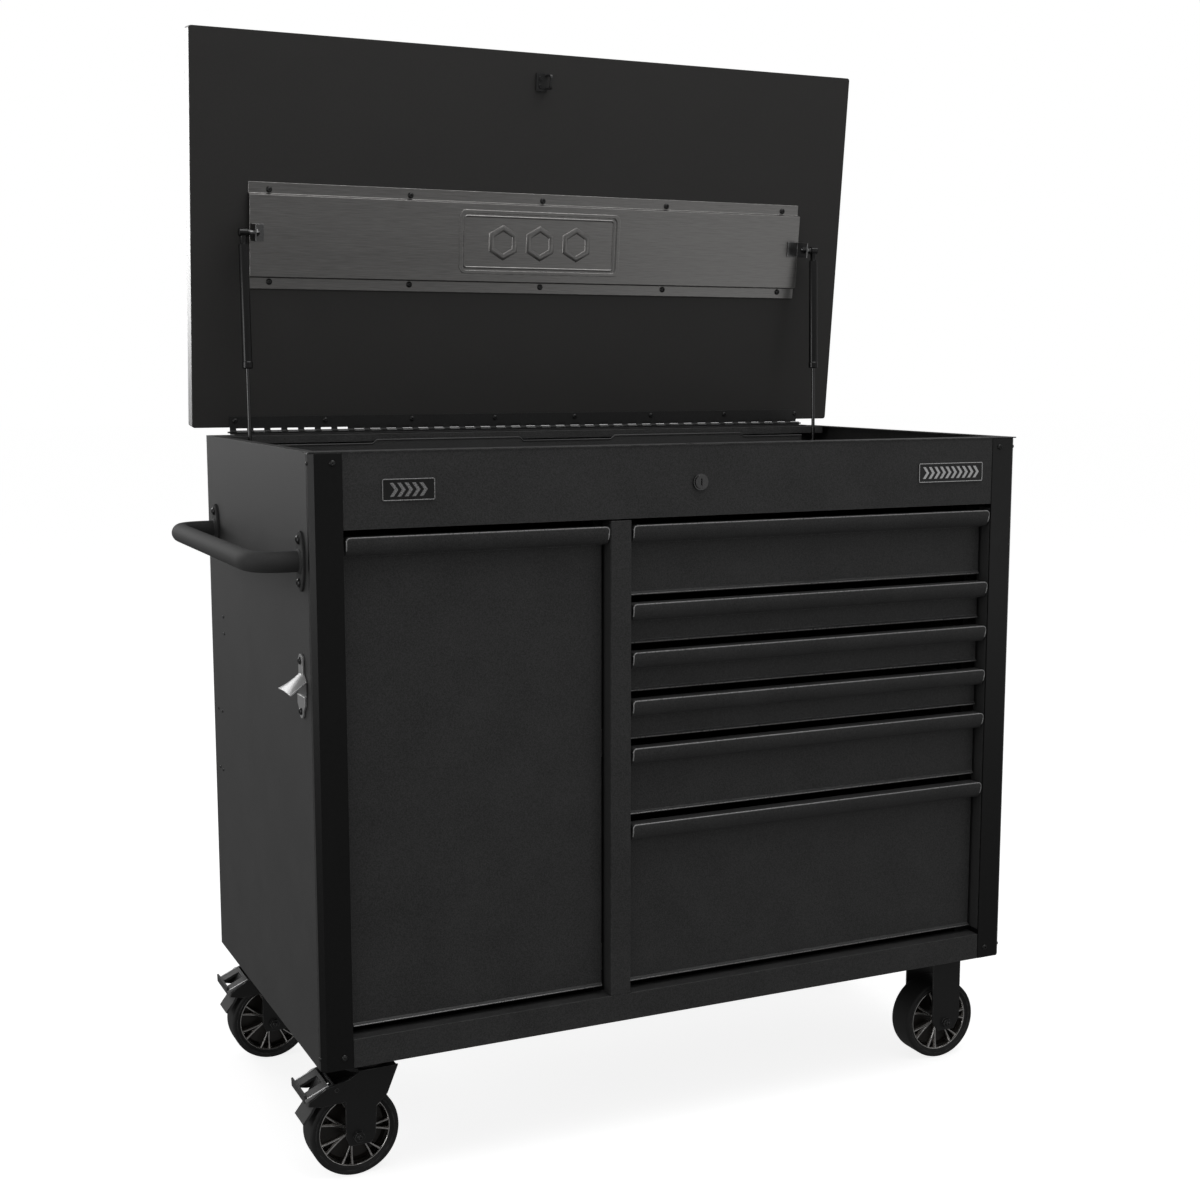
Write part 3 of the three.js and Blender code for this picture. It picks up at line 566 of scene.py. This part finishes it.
def build_opener():
    """Cast opener: two thick lugs, a mouth between them in darker zinc that paints the hood's shadow, and the
    hood over it.
    """
    low, high = body_box("bottle_opener")
    y = (low.y + high.y) / 2
    bottom, top = low.z + OPENER_LUG, high.z - OPENER_LUG
    waist = OPENER_WAIST
    neck = OPENER_LUG + 1
    upper = [*arc(y, top, OPENER_LUG, 0, math.pi, 12), (y - neck, OPENER_MOUTH[1]),
             (y + neck, OPENER_MOUTH[1])]
    lower = [*arc(y, bottom, OPENER_LUG, math.pi, TAU, 12), (y + waist - 2, bottom + 9),
             (y + waist - 2, OPENER_MOUTH[0]), (y - waist + 2, OPENER_MOUTH[0]),
             (y - waist + 2, bottom + 9)]
    shape = Shape()
    shape.prism(upper, "x", -3.4, -0.4)
    shape.prism(lower, "x", -3.4, -0.4)
    shape.stack(opener_rings(y, -low.x))
    shape.piece("opener_casting", TO_BODY, "cabinet", zinc_and_sheen, 0.6,
                replaces=["bottle_opener"])
    # darker zinc in the mouth: painted shade under the hood
    mouth = Shape()
    mouth.box(-1.4, -0.4, y - waist, y + waist, OPENER_MOUTH[0] - 1, OPENER_MOUTH[1] + 1)
    mouth.piece("opener_mouth_shade", TO_BODY, "cabinet", dull_zinc)
    screws = Shape()
    for z in (top, bottom):
        dome_screw(screws, (-3.4, y, z), "x", 5.2)
    screws.piece("opener_screws", TO_BODY, "cabinet", screw_black)


# ---- lid fittings ---------------------------------------------------------------------------
CHANNEL_NEAR = 225.5
CHANNEL_FAR = 388.5
CHANNEL_DROP = 10.4
RIVET_INSET = 11.0


def build_rivets():
    shape = Shape()
    for i in range(-2, 3):
        for y in (CHANNEL_NEAR + RIVET_INSET, CHANNEL_FAR - RIVET_INSET):
            dome_screw(shape, (CENTRE + i * 230.7, y, 2.0), "z", 5.0, side=1)
    shape.piece("channel_rivets", TO_LID, "lid", screw_black)


def bead(shape, outline_at, radius, z, height):
    """A rounded bead that follows a closed outline; outline_at gives it at an inset."""
    loops = []
    for step in range(7):
        angle = math.pi * step / 6
        points = outline_at(radius - radius * math.cos(angle))
        loops.append([(a, b, z + height * math.sin(angle)) for a, b in points])
    loops += [[(a, b, z - 0.5) for a, b in outline_at(2 * radius)],
              [(a, b, z - 0.5) for a, b in outline_at(0)]]
    shape.stack(loops, closed=True)


def build_emblem():
    """Embossed double-bead frame with a row of three hexagons, in place of any name."""
    x0, x1, y0, y1 = 410, 698, 257, 359
    z = CHANNEL_DROP
    shape = Shape()
    for inset, radius in ((0, 2.4), (8, 1.8)):
        def frame_at(step, inset=inset):
            total = inset + step
            return rounded_rectangle(x0 + total, x1 - total, y0 + total, y1 - total,
                                     max(2, 14 - total))
        bead(shape, frame_at, radius, z, 1.5)
    middle = (y0 + y1) / 2
    for i in (-1, 0, 1):
        def hexagon_at(step, centre=(x0 + x1) / 2 + i * 66):
            return [(centre + b, middle + a) for a, b in circle(0, 0, 29 - step, 6)]
        bead(shape, hexagon_at, 5.5, z, 2.0)
    shape.piece("channel_emblem", TO_LID, "lid", channel_steel)


STRUT_INSET = 49.5
BARREL_LENGTH = 207


def build_strut(side):
    """Gas strut with turned ends; the cylinder hangs from the lid, the rod stands on the body."""
    socket = 6.6
    x = STRUT_INSET if side == "left" else WIDTH - STRUT_INSET
    rod_low = body_box(f"strut_rod_{side}")[0]
    barrel_high = body_box(f"strut_cylinder_{side}")[1]
    foot = Vector((x, rod_low.y + socket, rod_low.z + socket))
    top = Vector((x, barrel_high.y - socket, barrel_high.z - socket))
    length = (top - foot).length
    turn = Vector((0, 0, 1)).rotation_difference(top - foot).to_matrix().to_4x4()
    place = TO_BODY @ Matrix.Translation(foot) @ turn
    barrel_low = length - BARREL_LENGTH
    barrel = Shape()
    barrel.lathe([
        (3.6, barrel_low + 0.4), (5.6, barrel_low), (7.4, barrel_low + 0.6), (8.2, barrel_low + 1.6),
        (8.2, barrel_low + 10), (7.5, barrel_low + 11),
        (7.5, length - 20), (7.0, length - 17.5), (5.4, length - 16.5), (5.0, length - 15), (5.0, length - 5),
    ])
    barrel.lathe([(5.0, -7), (6.6, -6), (6.6, 6), (5.0, 7)], (0, 0, length), "x", 24)
    barrel.piece(f"strut_{side}_barrel", place, f"strut_{side}_cylinder", strut_paint,
                 replaces=[f"strut_cylinder_{side}"])
    rod = Shape()
    rod.lathe([(3.0, 5), (3.0, barrel_low + 20)], steps=24)
    rod.lathe([(4.0, 3), (4.8, 5), (4.8, 18), (4.2, 20), (3.0, 20.5)], steps=24)
    rod.lathe([(5.0, -6.4), (6.6, -5.5), (6.6, 6), (5.0, 7)], (0, 0, 0), "x", 24)
    rod.piece(f"strut_{side}_piston_rod", place, f"strut_{side}_rod", rod_steel,
              replaces=[f"strut_rod_{side}"])


def build_bracket_bolts():
    """The nut behind each ball stud, and a turned collar on each stud."""
    for side in ("left", "right"):
        low, high = body_box(f"lid_bracket_{side}")
        inward = 1 if side == "left" else -1
        x = STRUT_INSET if side == "left" else WIDTH - STRUT_INSET
        barrel_high = body_box(f"strut_cylinder_{side}")[1]
        ball = (0, barrel_high.y - 6.6, barrel_high.z - 6.6)
        shape = Shape()
        face = (high.x if side == "left" else low.x) - inward * 19.5
        hex_nut(shape, (face, ball[1], ball[2]), "x", 6.2, 4.5, inward)
        shape.lathe([(3.4, x + inward * 6), (5.2, x + inward * 7.5), (5.2, x + inward * 9.5),
                     (3.6, x + inward * 11)], ball, "x", 24)
        shape.piece(f"bracket_bolts_{side}", TO_BODY, "lid", rod_steel)


# ---- hinge ----------------------------------------------------------------------------------
def build_hinge_screws():
    shape = Shape()
    for i in range(8):
        dome_screw(shape, (CENTRE + (i - 3.5) * 147.4, 18, 1.8), "z", 4.2, side=1)
    shape.piece("hinge_screws", TO_LID, "lid", screw_black)


HINGE_STRIP = ((36, 232, 5.7), (232, 1080, 3.0))   # along the hinge, and how near it comes to the pin


def build_hinge_strip():
    """A thin strip on the lid that closes most of the gap above the knuckles."""
    shape = Shape()
    for x0, x1, near in HINGE_STRIP:
        shape.box(x0, x1, near, 7.4, 0.15, 0.8)
    shape.piece("hinge_strip", TO_LID, "lid", hinge_paint)


# ---- body screws, marks and linings ---------------------------------------------------------
def build_body_screws():
    shape = Shape()
    front = body_box("left_corner_post")[0].y
    for x in (31, WIDTH - 31):
        for z in (HEIGHT - 15, 17):
            dome_screw(shape, (x, front, z), "y", 4.4)
    for x, side in ((0, -1), (WIDTH, 1)):
        for z in (HEIGHT - 15, 17):
            dome_screw(shape, (x, 8, z), "x", 3.0, side)
    shape.piece("post_screws", TO_BODY, "cabinet", screw_black)


SIDE_RIVETS = ((506, 551), (504, 525), (558, 397), (532, 397), (557, 302), (538, 301))


def build_side_rivets():
    """Small rivets that hold the inner uprights to both sides."""
    for name, x, side in (("left", 0, -1), ("right", WIDTH, 1)):
        shape = Shape()
        for y, z in SIDE_RIVETS:
            dome_screw(shape, (x, y, z), "x", 2.6, side)
        shape.piece(f"{name}_side_rivets", TO_BODY, "cabinet", screw_black)


def build_back_beads():
    """Two pressed stiffening frames and a row of rivets on the back panel."""
    back = body_box("back_panel")[1].y
    shape = Shape()
    margin, low, high = 60, 70, HEIGHT - 120
    half = WIDTH / 2
    for x0, x1 in ((margin, half - 25), (half + 25, WIDTH - margin)):
        for inset in (0, 40):
            loops = []
            for step in range(7):
                angle = math.pi * step / 6
                shift = inset + 6 - 6 * math.cos(angle)
                outline = rounded_rectangle(x0 + shift, x1 - shift, low + shift, high - shift, 20)
                loops.append([(a, back - 0.3 + 1.6 * math.sin(angle), b) for a, b in outline])
            shape.stack(loops)
    shape.piece("back_panel_beads", TO_BODY, "cabinet", powder)
    rivets = Shape()
    for z in (25, HEIGHT - 30):
        for i in range(9):
            dome_screw(rivets, (40 + i * (WIDTH - 80) / 8, back, z), "y", 3.2, 1)
    rivets.piece("back_panel_rivets", TO_BODY, "cabinet", screw_black)


LIP_FRONT = 523.4               # the compartment's rear wall, just ahead of the rear rim
LIP_TOP = 814.5
LIP_RAISE = 6.0
LIP_SLOPE = 7.0
LIP_RAISED = ((252, 514), (676, 936))
LIP_ENDS = 64.0


def build_compartment_wall():
    """Rear wall of the compartment, with a rolled edge that rises in two long stretches."""
    path = [(LIP_ENDS, LIP_TOP)]
    for x0, x1 in LIP_RAISED:
        path += [(x0, LIP_TOP), (x0 + LIP_SLOPE, LIP_TOP + LIP_RAISE),
                 (x1 - LIP_SLOPE, LIP_TOP + LIP_RAISE), (x1, LIP_TOP)]
    path.append((WIDTH - LIP_ENDS, LIP_TOP))
    floor = body_box("compartment_floor")[1].z + 0.4
    wall = Shape()
    wall.prism([(LIP_ENDS, floor), *path, (WIDTH - LIP_ENDS, floor)], "y", LIP_FRONT, LIP_FRONT + 1.6)
    wall.tube([(x, LIP_FRONT + 0.4, z) for x, z in path], 1.6, 12)
    wall.piece("compartment_rear_wall", TO_BODY, "cabinet", inner_paint, angle=60)


def build_rim_edge():
    """A thin bright bar along the folded edge at the top of the front: a painted highlight line."""
    shape = Shape()
    shape.tube([(1.0, 0.6, HEIGHT - 0.7), (WIDTH - 1.0, 0.6, HEIGHT - 0.7)], 0.8, 10)
    shape.piece("front_rim_edge", TO_BODY, "cabinet", edge_highlight_metal)


def build_bay_edges():
    """Painted flanges just inside the right-hand side of both bays."""
    shape = Shape()
    bottom = body_box("drawer_6_front")[0].z - 2
    top = body_box("drawer_1_front")[1].z + 3
    for front in ("pullout_front", "drawer_1_front"):
        edge = bay_of(front)[1]
        shape.box(edge - 0.8, edge - 0.2, 1.5, 28, bottom, top)
    shape.piece("bay_edges", TO_BODY, "cabinet", inner_paint)


# ---- slides and drawer mats -----------------------------------------------------------------
SLIDE_REACH = (30, 530)         # along the depth of the cabinet
SLIDE_SPACE = 12.4              # between a box and its bay
PULL_GAP = 3.5                  # between a pull's end and the bay


def slide_channel(shape, x, inward, z, half, lip):
    """A C section that opens towards `inward`, swept along the depth."""
    thick = 1.2 * inward
    reach = lip * inward
    outline = [(x, z - half), (x + reach, z - half), (x + reach, z - half + 1.2),
               (x + thick, z - half + 1.2), (x + thick, z + half - 1.2),
               (x + reach, z + half - 1.2), (x + reach, z + half), (x, z + half)]
    shape.prism(outline, "y", *SLIDE_REACH)


def build_slides(body, bay, heights):
    """Ball slides on both sides of a bay: outer rails on the cabinet, inner rails on the box."""
    outer = Shape()
    inner = Shape()
    for wall, inward in ((bay[0] + 0.4, 1), (bay[1] - 0.4, -1)):
        for z in heights:
            slide_channel(outer, wall, inward, z, 20, 9.5)
            box_side = wall + inward * SLIDE_SPACE
            slide_channel(inner, box_side, -inward, z, 14.5, 8)
            for y in (70, 250, 430):
                dome_screw(inner, (box_side - inward * 1.2, y, z), "x", 3.2, -inward)
    outer.piece(f"{body}_outer_rails", TO_BODY, "cabinet", slide_zinc)
    inner.piece(f"{body}_inner_rails", TO_BODY, body, slide_zinc)


def bay_of(front):
    low, high = body_box(front)
    return low.x - PULL_GAP, high.x + PULL_GAP


def build_all_slides():
    bay = bay_of("drawer_1_front")
    for number in range(1, 7):
        low, high = body_box(f"drawer_{number}_box")
        build_slides(f"drawer_{number}", bay, [min((low.z + high.z) / 2, low.z + 60)])
    tray = body_box("pullout_rack")[0]
    shelf = body_box("pullout_shelf")[0]
    build_slides("pullout", bay_of("pullout_front"), [tray.z + 35, shelf.z + 22])


def build_uprights():
    """Hat-section uprights that carry the outer rails beside each bay."""
    left_bay, right_bay = bay_of("pullout_front"), bay_of("drawer_1_front")
    middle = body_box("centre_divider")
    partition = (middle[0].x + middle[1].x) / 2
    shape = Shape()
    spans = ((2.2, left_bay[0]), (left_bay[1], partition - 1.3),
             (partition + 1.3, right_bay[0]), (right_bay[1], WIDTH - 2.2))
    for x0, x1 in spans:
        for y in (60, 300, 480):
            for wall in (y, y + 38):
                shape.box(x0, x1, wall, wall + 1.5, 14, HEIGHT - 108)
    shape.piece("slide_uprights", TO_BODY, "cabinet", inner_paint)


def build_mats():
    """A ribbed foam mat on the floor of every drawer."""
    for number in range(1, 7):
        low, high = body_box(f"drawer_{number}_box")
        floor = low.z + 1.6
        x0, x1 = low.x + 2.2, high.x - 2.2
        y0, y1 = low.y + 2.2, high.y - 2.2
        pitch = 6.0
        count = int((y1 - y0) / pitch)
        outline = [(y0, floor)]
        for i in range(count):
            y = y0 + i * pitch
            outline += [(y, floor + 2.4), (y + 3.6, floor + 2.4), (y + 4.2, floor + 1.6),
                        (y + 5.4, floor + 1.6)]
        outline += [(y0 + count * pitch, floor + 2.4), (y0 + count * pitch, floor)]
        shape = Shape()
        shape.prism(outline, "x", x0, x1)
        shape.piece(f"drawer_{number}_mat", TO_BODY, f"drawer_{number}", mat_foam)


# ---- castors --------------------------------------------------------------------------------
def axle_centre(castor):
    low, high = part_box(f"{castor}_tyre")
    return (low + high) / 2


def build_tyre(castor, place):
    low, high = body_box(f"{castor}_tyre")
    radius = (high.z - low.z) / 2
    inner = radius - 12
    half = [
        (inner, 19.0), (inner + 1.6, 20.2), (inner + 3.0, 20.8), (inner + 3.6, 22.4), (inner + 4.6, 22.6),
        (inner + 5.4, 21.8), (radius - 4.5, 22.7), (radius - 2.4, 22.5), (radius - 0.9, 21.2),
        (radius - 0.15, 18.5), (radius, 15),
    ]
    profile = half + [(r, -h) for r, h in reversed(half)]
    shape = Shape()
    shape.lathe(profile, axis="y", steps=96, closed=True)
    shape.piece(f"{castor}_tread", place, f"{castor}_wheel", rubber, angle=50,
                replaces=[f"{castor}_tyre"])


SPOKE_PAIRS = 7


def spoke_rings(inner, outer, angle_in, angle_out, thick):
    """A tapering spoke from hub to rim, wider and shallower towards the rim."""
    steps = 6
    rings = []
    for i in range(steps + 1):
        t = i / steps
        radius = inner + (outer - inner) * t
        angle = angle_in + (angle_out - angle_in) * t
        half = thick * (0.85 + 0.35 * t)
        depth = 15.0 + 3.4 * t
        across = Vector((-math.sin(angle), 0, math.cos(angle)))
        centre = Vector((radius * math.cos(angle), 0, radius * math.sin(angle)))
        section = [(-half, -depth + 2), (-0.35 * half, -depth), (0.35 * half, -depth), (half, -depth + 2),
                   (half, depth - 2), (0.35 * half, depth), (-0.35 * half, depth), (-half, depth - 2)]
        rings.append([centre + across * a + Vector((0, b, 0)) for a, b in section])
    return rings


def build_hub(castor, place):
    low, high = body_box(f"{castor}_hub")
    rim = (high.z - low.z) / 2
    shape = Shape()
    half = [(rim, 19.0), (rim - 0.9, 19.5), (rim - 1.8, 18.8), (rim - 2.4, 16.5), (rim - 3.6, 8)]
    shape.lathe(half + [(r, -h) for r, h in reversed(half)], axis="y", steps=96, closed=True)
    boss = [(6.5, 22), (10, 21.5), (12.8, 19), (14.2, 14), (14.8, 0)]
    shape.lathe(boss + [(r, -h) for r, h in reversed(boss[:-1])], axis="y", steps=48, closed=True)
    for pair in range(SPOKE_PAIRS):
        middle = TAU * pair / SPOKE_PAIRS
        for side in (-1, 1):
            shape.stack(spoke_rings(12, rim - 1.5, middle + side * 0.03, middle + side * 0.15, 1.9))
    shape.piece(f"{castor}_spokes", place, f"{castor}_wheel", hub_chrome, 0.3, 40,
                replaces=[f"{castor}_hub"])
    web = Shape()
    web.lathe([(13, -3), (rim - 6, -4), (rim - 4, -9), (rim - 4, 9), (rim - 6, 4), (13, 3)],
              axis="y", steps=64, closed=True)
    web.piece(f"{castor}_web", place, f"{castor}_wheel", smoked_web)
    spacer = Shape()
    reach = (high.y - low.y) / 2
    spacer.lathe([(5.4, -reach), (8.2, -reach), (8.8, -reach + 1), (8.8, reach - 1), (8.2, reach), (5.4, reach)],
                 axis="y", closed=True)
    spacer.piece(f"{castor}_spacer", place, f"{castor}_wheel", castor_black)


AXLE_NUT = 43.5                 # from the middle of the wheel to the face of the axle nut


def build_axle_caps(castor, place, body):
    """A small domed rivet on each end of the axle."""
    shape = Shape()
    for side in (-1, 1):
        dome_screw(shape, (0, side * AXLE_NUT, 0), "y", 4.4, side)
    shape.piece(f"{castor}_axle_caps", place, body, castor_black)


PEDAL_EDGE = ((36.2, 52.9), (2.2, 37.9), (0.8, 42.1), (34.4, 57.1))   # from the pedal's corner


def build_pedal_highlights(castor):
    """Bright zinc strips along both side edges of the pedal's tread: painted highlights where the edges catch
    the light.
    """
    low, high = body_box(f"{castor}_pedal")
    outline = [(low.x + along, low.z + up) for along, up in PEDAL_EDGE]
    shape = Shape()
    for y0, y1 in ((low.y - 0.3, low.y + 2.6), (high.y - 2.6, high.y + 0.3)):
        loops = [[(x, y, z) for x, z in outline] for y in (y0, y1)]
        shape.stack(loops)
    shape.piece(f"{castor}_pedal_edges", TO_BODY, f"{castor}_brake", zinc_and_sheen, 0.5)


def build_plate_nuts(castor, node):
    """Four nuts and bolt ends under the corners of a castor's top plate."""
    low, high = body_box(node)
    x, y = (low.x + high.x) / 2, (low.y + high.y) / 2
    shape = Shape()
    for dx in (-40, 40):
        for dy in (-31, 31):
            hex_nut(shape, (x + dx, y + dy, -4.4), "z", 6.5, 4.5)
    shape.piece(f"{castor}_plate_nuts", TO_BODY, "cabinet", dull_zinc)


def build_castors():
    for row in ("front", "rear"):
        for side, plate in (("left", "plate"), ("right", "fork")):
            castor = f"castor_{row}_{side}"
            place = Matrix.Translation(axle_centre(castor)) @ Matrix.Scale(MM, 4)
            build_tyre(castor, place)
            build_hub(castor, place)
            build_axle_caps(castor, place, f"{castor}_swivel" if side == "left" else "cabinet")
            build_plate_nuts(castor, f"{castor}_{plate}")
        build_pedal_highlights(f"castor_{row}_left")


# ---- badges and lock ------------------------------------------------------------------------
BADGE_RIM = 1.3


def build_badge(side):
    """A dark plate with a thin bright rim and a row of chevrons, in place of any name."""
    low, high = body_box(f"{side}_badge")
    x0, x1, z0, z1 = low.x, high.x, low.z, high.z
    plate = Shape()
    plate.prism(rounded_rectangle(x0, x1, z0, z1, 2.5), "y", -1.2, -0.4)
    plate.piece(f"{side}_badge_plate", TO_BODY, "cabinet", badge_field,
                replaces=[f"{side}_badge"])
    rim = Shape()
    inner = rounded_rectangle(x0 + BADGE_RIM, x1 - BADGE_RIM, z0 + BADGE_RIM, z1 - BADGE_RIM, 1.5)
    rim.ring(rounded_rectangle(x0, x1, z0, z1, 2.5), inner, "y", -1.9, -1.0)
    rim.piece(f"{side}_badge_rim", TO_BODY, "cabinet", badge_metal, 0.3)
    chevrons = Shape()
    bar, pitch, point = 5.2, 10.2, 6.5
    bottom, top = z0 + 5.5, z1 - 5.5
    middle = (bottom + top) / 2
    count = int((x1 - x0 - 14) / pitch)
    start = (x0 + x1 - (count - 1) * pitch - bar - point) / 2
    for i in range(count):
        left = start + i * pitch
        outline = [(left, bottom), (left + bar, bottom), (left + bar + point, middle),
                   (left + bar, top), (left, top), (left + point, middle)]
        chevrons.prism(outline, "y", -1.8, -1.1)
    chevrons.piece(f"{side}_badge_motif", TO_BODY, "cabinet", badge_metal, 0.2)


# ---- carried-over CAD nodes -----------------------------------------------------------------
def dress_frame():
    for node in ("left_side_panel", "right_side_panel", "back_panel", "base_pan", "front_fascia",
                 "bottom_rail", "centre_divider"):
        dress(node, powder)
    for node in ("compartment_floor", "rear_liner"):
        dress(node, inner_paint)
    for node in ("left_corner_post", "right_corner_post"):
        dress(node, satin, 0.8)
    dress("lid_worktop", worktop, 0.8)
    dress("lid_inner_panel", lid_paint, 0.4)
    dress("lid_channel", channel_steel, 0.5)
    for node in ("lid_bracket_left", "lid_bracket_right"):
        dress(node, dull_zinc, 0.4)
    for node in ("lid_latch_hook", "hinge_body_leaf", "hinge_lid_leaf"):
        dress(node, hinge_paint, 0.2)
    dress("lock_plug", rod_steel, 0.4)
    for number in range(1, 7):
        dress(f"drawer_{number}_box", inner_paint)
    dress("pullout_rack", inner_paint)
    dress("pullout_shelf", inner_paint)
    for row in ("front", "rear"):
        dress(f"castor_{row}_left_plate", castor_black, 0.6)
        dress(f"castor_{row}_left_fork", castor_black, 0.8)
        dress(f"castor_{row}_left_pedal", pedal_grey, 0.6)
        dress(f"castor_{row}_right_fork", castor_black, 0.8)


# ---- studio ---------------------------------------------------------------------------------
ROOM_LIGHT = (0.15, 0.32)       # how bright the room is below and above the chest


def build_floor():
    """A pale floor that the camera sees lit up to white; it throws no light back on the chest."""
    reach = 30.0
    shape = Shape()
    shape.box(-reach, reach, -reach, reach, -0.02, 0)
    data = bpy.data.meshes.new("studio_floor")
    shape.mesh.to_mesh(data)
    shape.mesh.free()
    floor = bpy.data.objects.new("studio_floor", data)
    bpy.context.scene.collection.objects.link(floor)
    paint = bpy.data.materials.new("pale_floor")
    paint.use_nodes = True
    inputs = paint.node_tree.nodes["Principled BSDF"].inputs
    inputs["Base Color"].default_value = grey(0.5)
    inputs["Roughness"].default_value = 1.0
    inputs["Specular IOR Level"].default_value = 0.0
    inputs["Emission Color"].default_value = grey(1.0)
    inputs["Emission Strength"].default_value = 0.84
    data.materials.append(paint)
    floor.visible_glossy = False
    floor.visible_diffuse = False


def build_light(name, place, target, size, power):
    data = bpy.data.lights.new(name, "AREA")
    data.shape = "RECTANGLE"
    data.size, data.size_y = size
    data.energy = power
    light = bpy.data.objects.new(name, data)
    light.location = place
    light.rotation_euler = (Vector(target) - Vector(place)).to_track_quat("-Z", "Y").to_euler()
    light.visible_camera = False
    bpy.context.scene.collection.objects.link(light)


def build_world():
    """A dim even room for the light, and plain white behind the chest."""
    world = bpy.data.worlds.new("studio")
    bpy.context.scene.world = world
    world.use_nodes = True
    tree = world.node_tree
    room = tree.nodes["Background"]
    room.inputs["Color"].default_value = grey(1.0)
    direction = tree.nodes.new("ShaderNodeTexCoord")
    split = tree.nodes.new("ShaderNodeSeparateXYZ")
    rise = tree.nodes.new("ShaderNodeMapRange")
    for socket, value in (("From Min", -0.45), ("From Max", 0.45),
                          ("To Min", ROOM_LIGHT[0]), ("To Max", ROOM_LIGHT[1])):
        rise.inputs[socket].default_value = value
    tree.links.new(direction.outputs["Generated"], split.inputs["Vector"])
    tree.links.new(split.outputs["Z"], rise.inputs["Value"])
    tree.links.new(rise.outputs["Result"], room.inputs["Strength"])
    backdrop = tree.nodes.new("ShaderNodeBackground")
    backdrop.inputs["Color"].default_value = grey(1.0)
    path = tree.nodes.new("ShaderNodeLightPath")
    choose = tree.nodes.new("ShaderNodeMixShader")
    tree.links.new(path.outputs["Is Camera Ray"], choose.inputs["Fac"])
    tree.links.new(room.outputs["Background"], choose.inputs[1])
    tree.links.new(backdrop.outputs["Background"], choose.inputs[2])
    tree.links.new(choose.outputs["Shader"], tree.nodes["World Output"].inputs["Surface"])


def build_studio():
    middle = (0, 0, 0.7)
    build_world()
    build_floor()
    build_light("rear_left_softbox", (-2.0, 4.2, 2.0), (-0.6, 0.2, 1.0), (2.4, 1.6), 40)
    build_light("top_softbox", (0.5, -0.8, 3.6), middle, (3, 2), 40)
    build_light("left_softbox", (-3.4, -0.4, 1.0), middle, (1.5, 1.5), 16)
    build_light("right_softbox", (3.2, -4.2, 0.5), (0.4, -0.3, 0.5), (1.8, 1.2), 4)


def build_camera():
    data = bpy.data.cameras.new("photo_angle")
    data.lens = 52.04
    data.sensor_width = 36
    camera = bpy.data.objects.new("photo_angle", data)
    camera.location = (-1.1344, -2.4675, 1.1156)
    camera.rotation_euler = (math.radians(90 - 7.73), 0, math.radians(-25.07))
    bpy.context.scene.collection.objects.link(camera)
    bpy.context.scene.camera = camera
    bpy.context.scene.view_settings.view_transform = "Standard"


dress_frame()
build_fronts()
build_side_handle()
build_opener()
build_rivets()
build_emblem()
build_hinge_screws()
build_bracket_bolts()
build_body_screws()
build_side_rivets()
build_back_beads()
build_compartment_wall()
build_rim_edge()
build_bay_edges()
build_hinge_strip()
build_all_slides()
build_uprights()
build_mats()
for strut_side in ("left", "right"):
    build_strut(strut_side)
    build_badge(strut_side)
build_castors()
build_studio()
build_camera()
